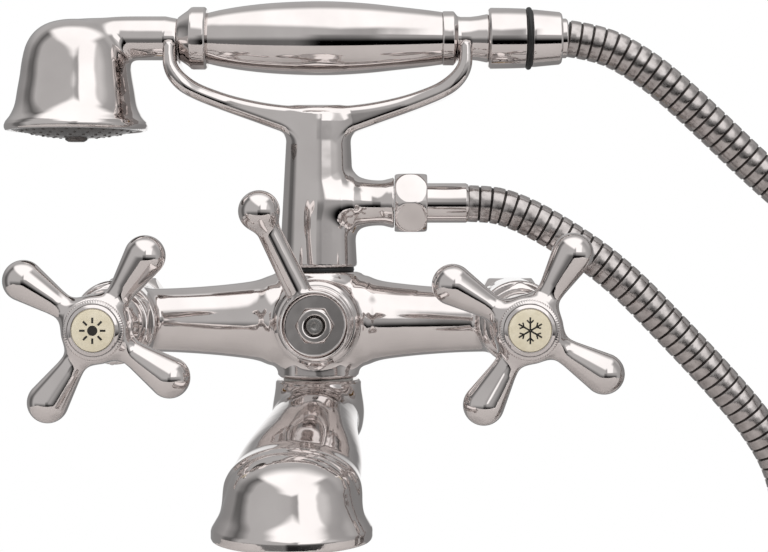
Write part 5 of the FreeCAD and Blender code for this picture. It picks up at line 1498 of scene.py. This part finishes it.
# %% Room put together
left_tone = tones_from_front_to_back(ROOM_LEFT)
right_tone = tones_from_front_to_back(ROOM_RIGHT)
walls = mixed(left_tone, right_tone, soft_step(toward["X"], -0.05, 0.2))
settings = {"operation": "MULTIPLY_ADD", 0: ceiling, 1: CEILING_BEHIND, 2: walls}
tone = add_node(room, "ShaderNodeMath", settings).outputs["Value"]
tone = mixed(tone, PHOTOGRAPHER, both(photographer, front))
tone = mixed(tone, WING_LIGHT, both(wing_light, front))
tone = mixed(tone, SOFT_LIGHT, both(side_light, front))
tone = mixed(tone, both(soft_step(toward["X"], -0.03, -0.14), DIM_GAP), both(gap, front))
tone = mixed(tone, SOFT_LIGHT, top_light)

ray = add_node(room, "ShaderNodeLightPath").outputs
settings = {"operation": "MAXIMUM", 0: ray["Is Glossy Ray"], 1: ray["Is Transmission Ray"]}
mirrored = add_node(room, "ShaderNodeMath", settings).outputs["Value"]
plain_light = mixed(DIFFUSE_LIGHT, 1.0, ray["Is Camera Ray"])
sky = mixed(plain_light, tone, mirrored)
backdrop = add_node(room, "ShaderNodeBackground", {"Color": sky})
add_node(room, "ShaderNodeOutputWorld", {"Surface": backdrop.outputs["Background"]})
print("nodes in the room:", len(room.nodes))

# %% [markdown]
# ### Lamps
#
# Three soft boxes light the parts that aren't metal and throw the shadows. Their mirror image is
# already in the room's tones, where it has the softer edge of a real diffuser, so the lamps
# themselves don't show in reflections.

# %% Lamps
TAP_MIDDLE = Vector((0.0, -0.05, 0.02))


def soft_box(name, place, width, height, watts):
    data = bpy.data.lights.new(name, "AREA")
    data.shape = "RECTANGLE"
    data.size = width
    data.size_y = height
    data.energy = watts
    lamp = bpy.data.objects.new(name, data)
    lamp.location = place
    lamp.rotation_euler = (TAP_MIDDLE - Vector(place)).to_track_quat("-Z", "Y").to_euler()
    lamp.visible_glossy = False
    bpy.context.scene.collection.objects.link(lamp)


soft_box("left_soft_box", (-0.95, -0.75, 0.35), 0.5, 0.9, 5.0)
soft_box("right_soft_box", (1.05, -0.65, 0.30), 0.4, 0.9, 5.0)
soft_box("top_soft_box", (0.05, -0.45, 0.95), 1.1, 0.5, 6.0)
print("lamps:", len(bpy.data.lights))

# %% [markdown]
# ### Table
#
# A narrow, pale table top lies under the coil. In front it ends before the camera, which makes
# the lower edge of the dark gap in the reflections. Behind it ends close to the tap, so that the
# lower edges of the arms and the grip show the dim room and stand out from the white. It takes
# the object's soft shadow.

# %% Table
TABLE_HEIGHT = -0.1762
TABLE_FRONT = -0.57
TABLE_BACK = 0.1
TABLE_LEFT = -0.62
TABLE_RIGHT = 0.72

table_mesh = bpy.data.meshes.new("studio_table")
table_corners = [(TABLE_LEFT, TABLE_FRONT), (TABLE_RIGHT, TABLE_FRONT)]
table_corners += [(TABLE_RIGHT, TABLE_BACK), (TABLE_LEFT, TABLE_BACK)]
table_mesh.from_pydata([(x, y, TABLE_HEIGHT) for x, y in table_corners], [], [(0, 1, 2, 3)])
table = bpy.data.objects.new("studio_table", table_mesh)
bpy.context.scene.collection.objects.link(table)
dress(table, solid("pale_table_paint", "#CBC7C5", "#C3BFBD", 0.8, 8.0, 0.00002))
print("table top at", TABLE_HEIGHT)

bpy.context.scene.view_settings.view_transform = "Standard"

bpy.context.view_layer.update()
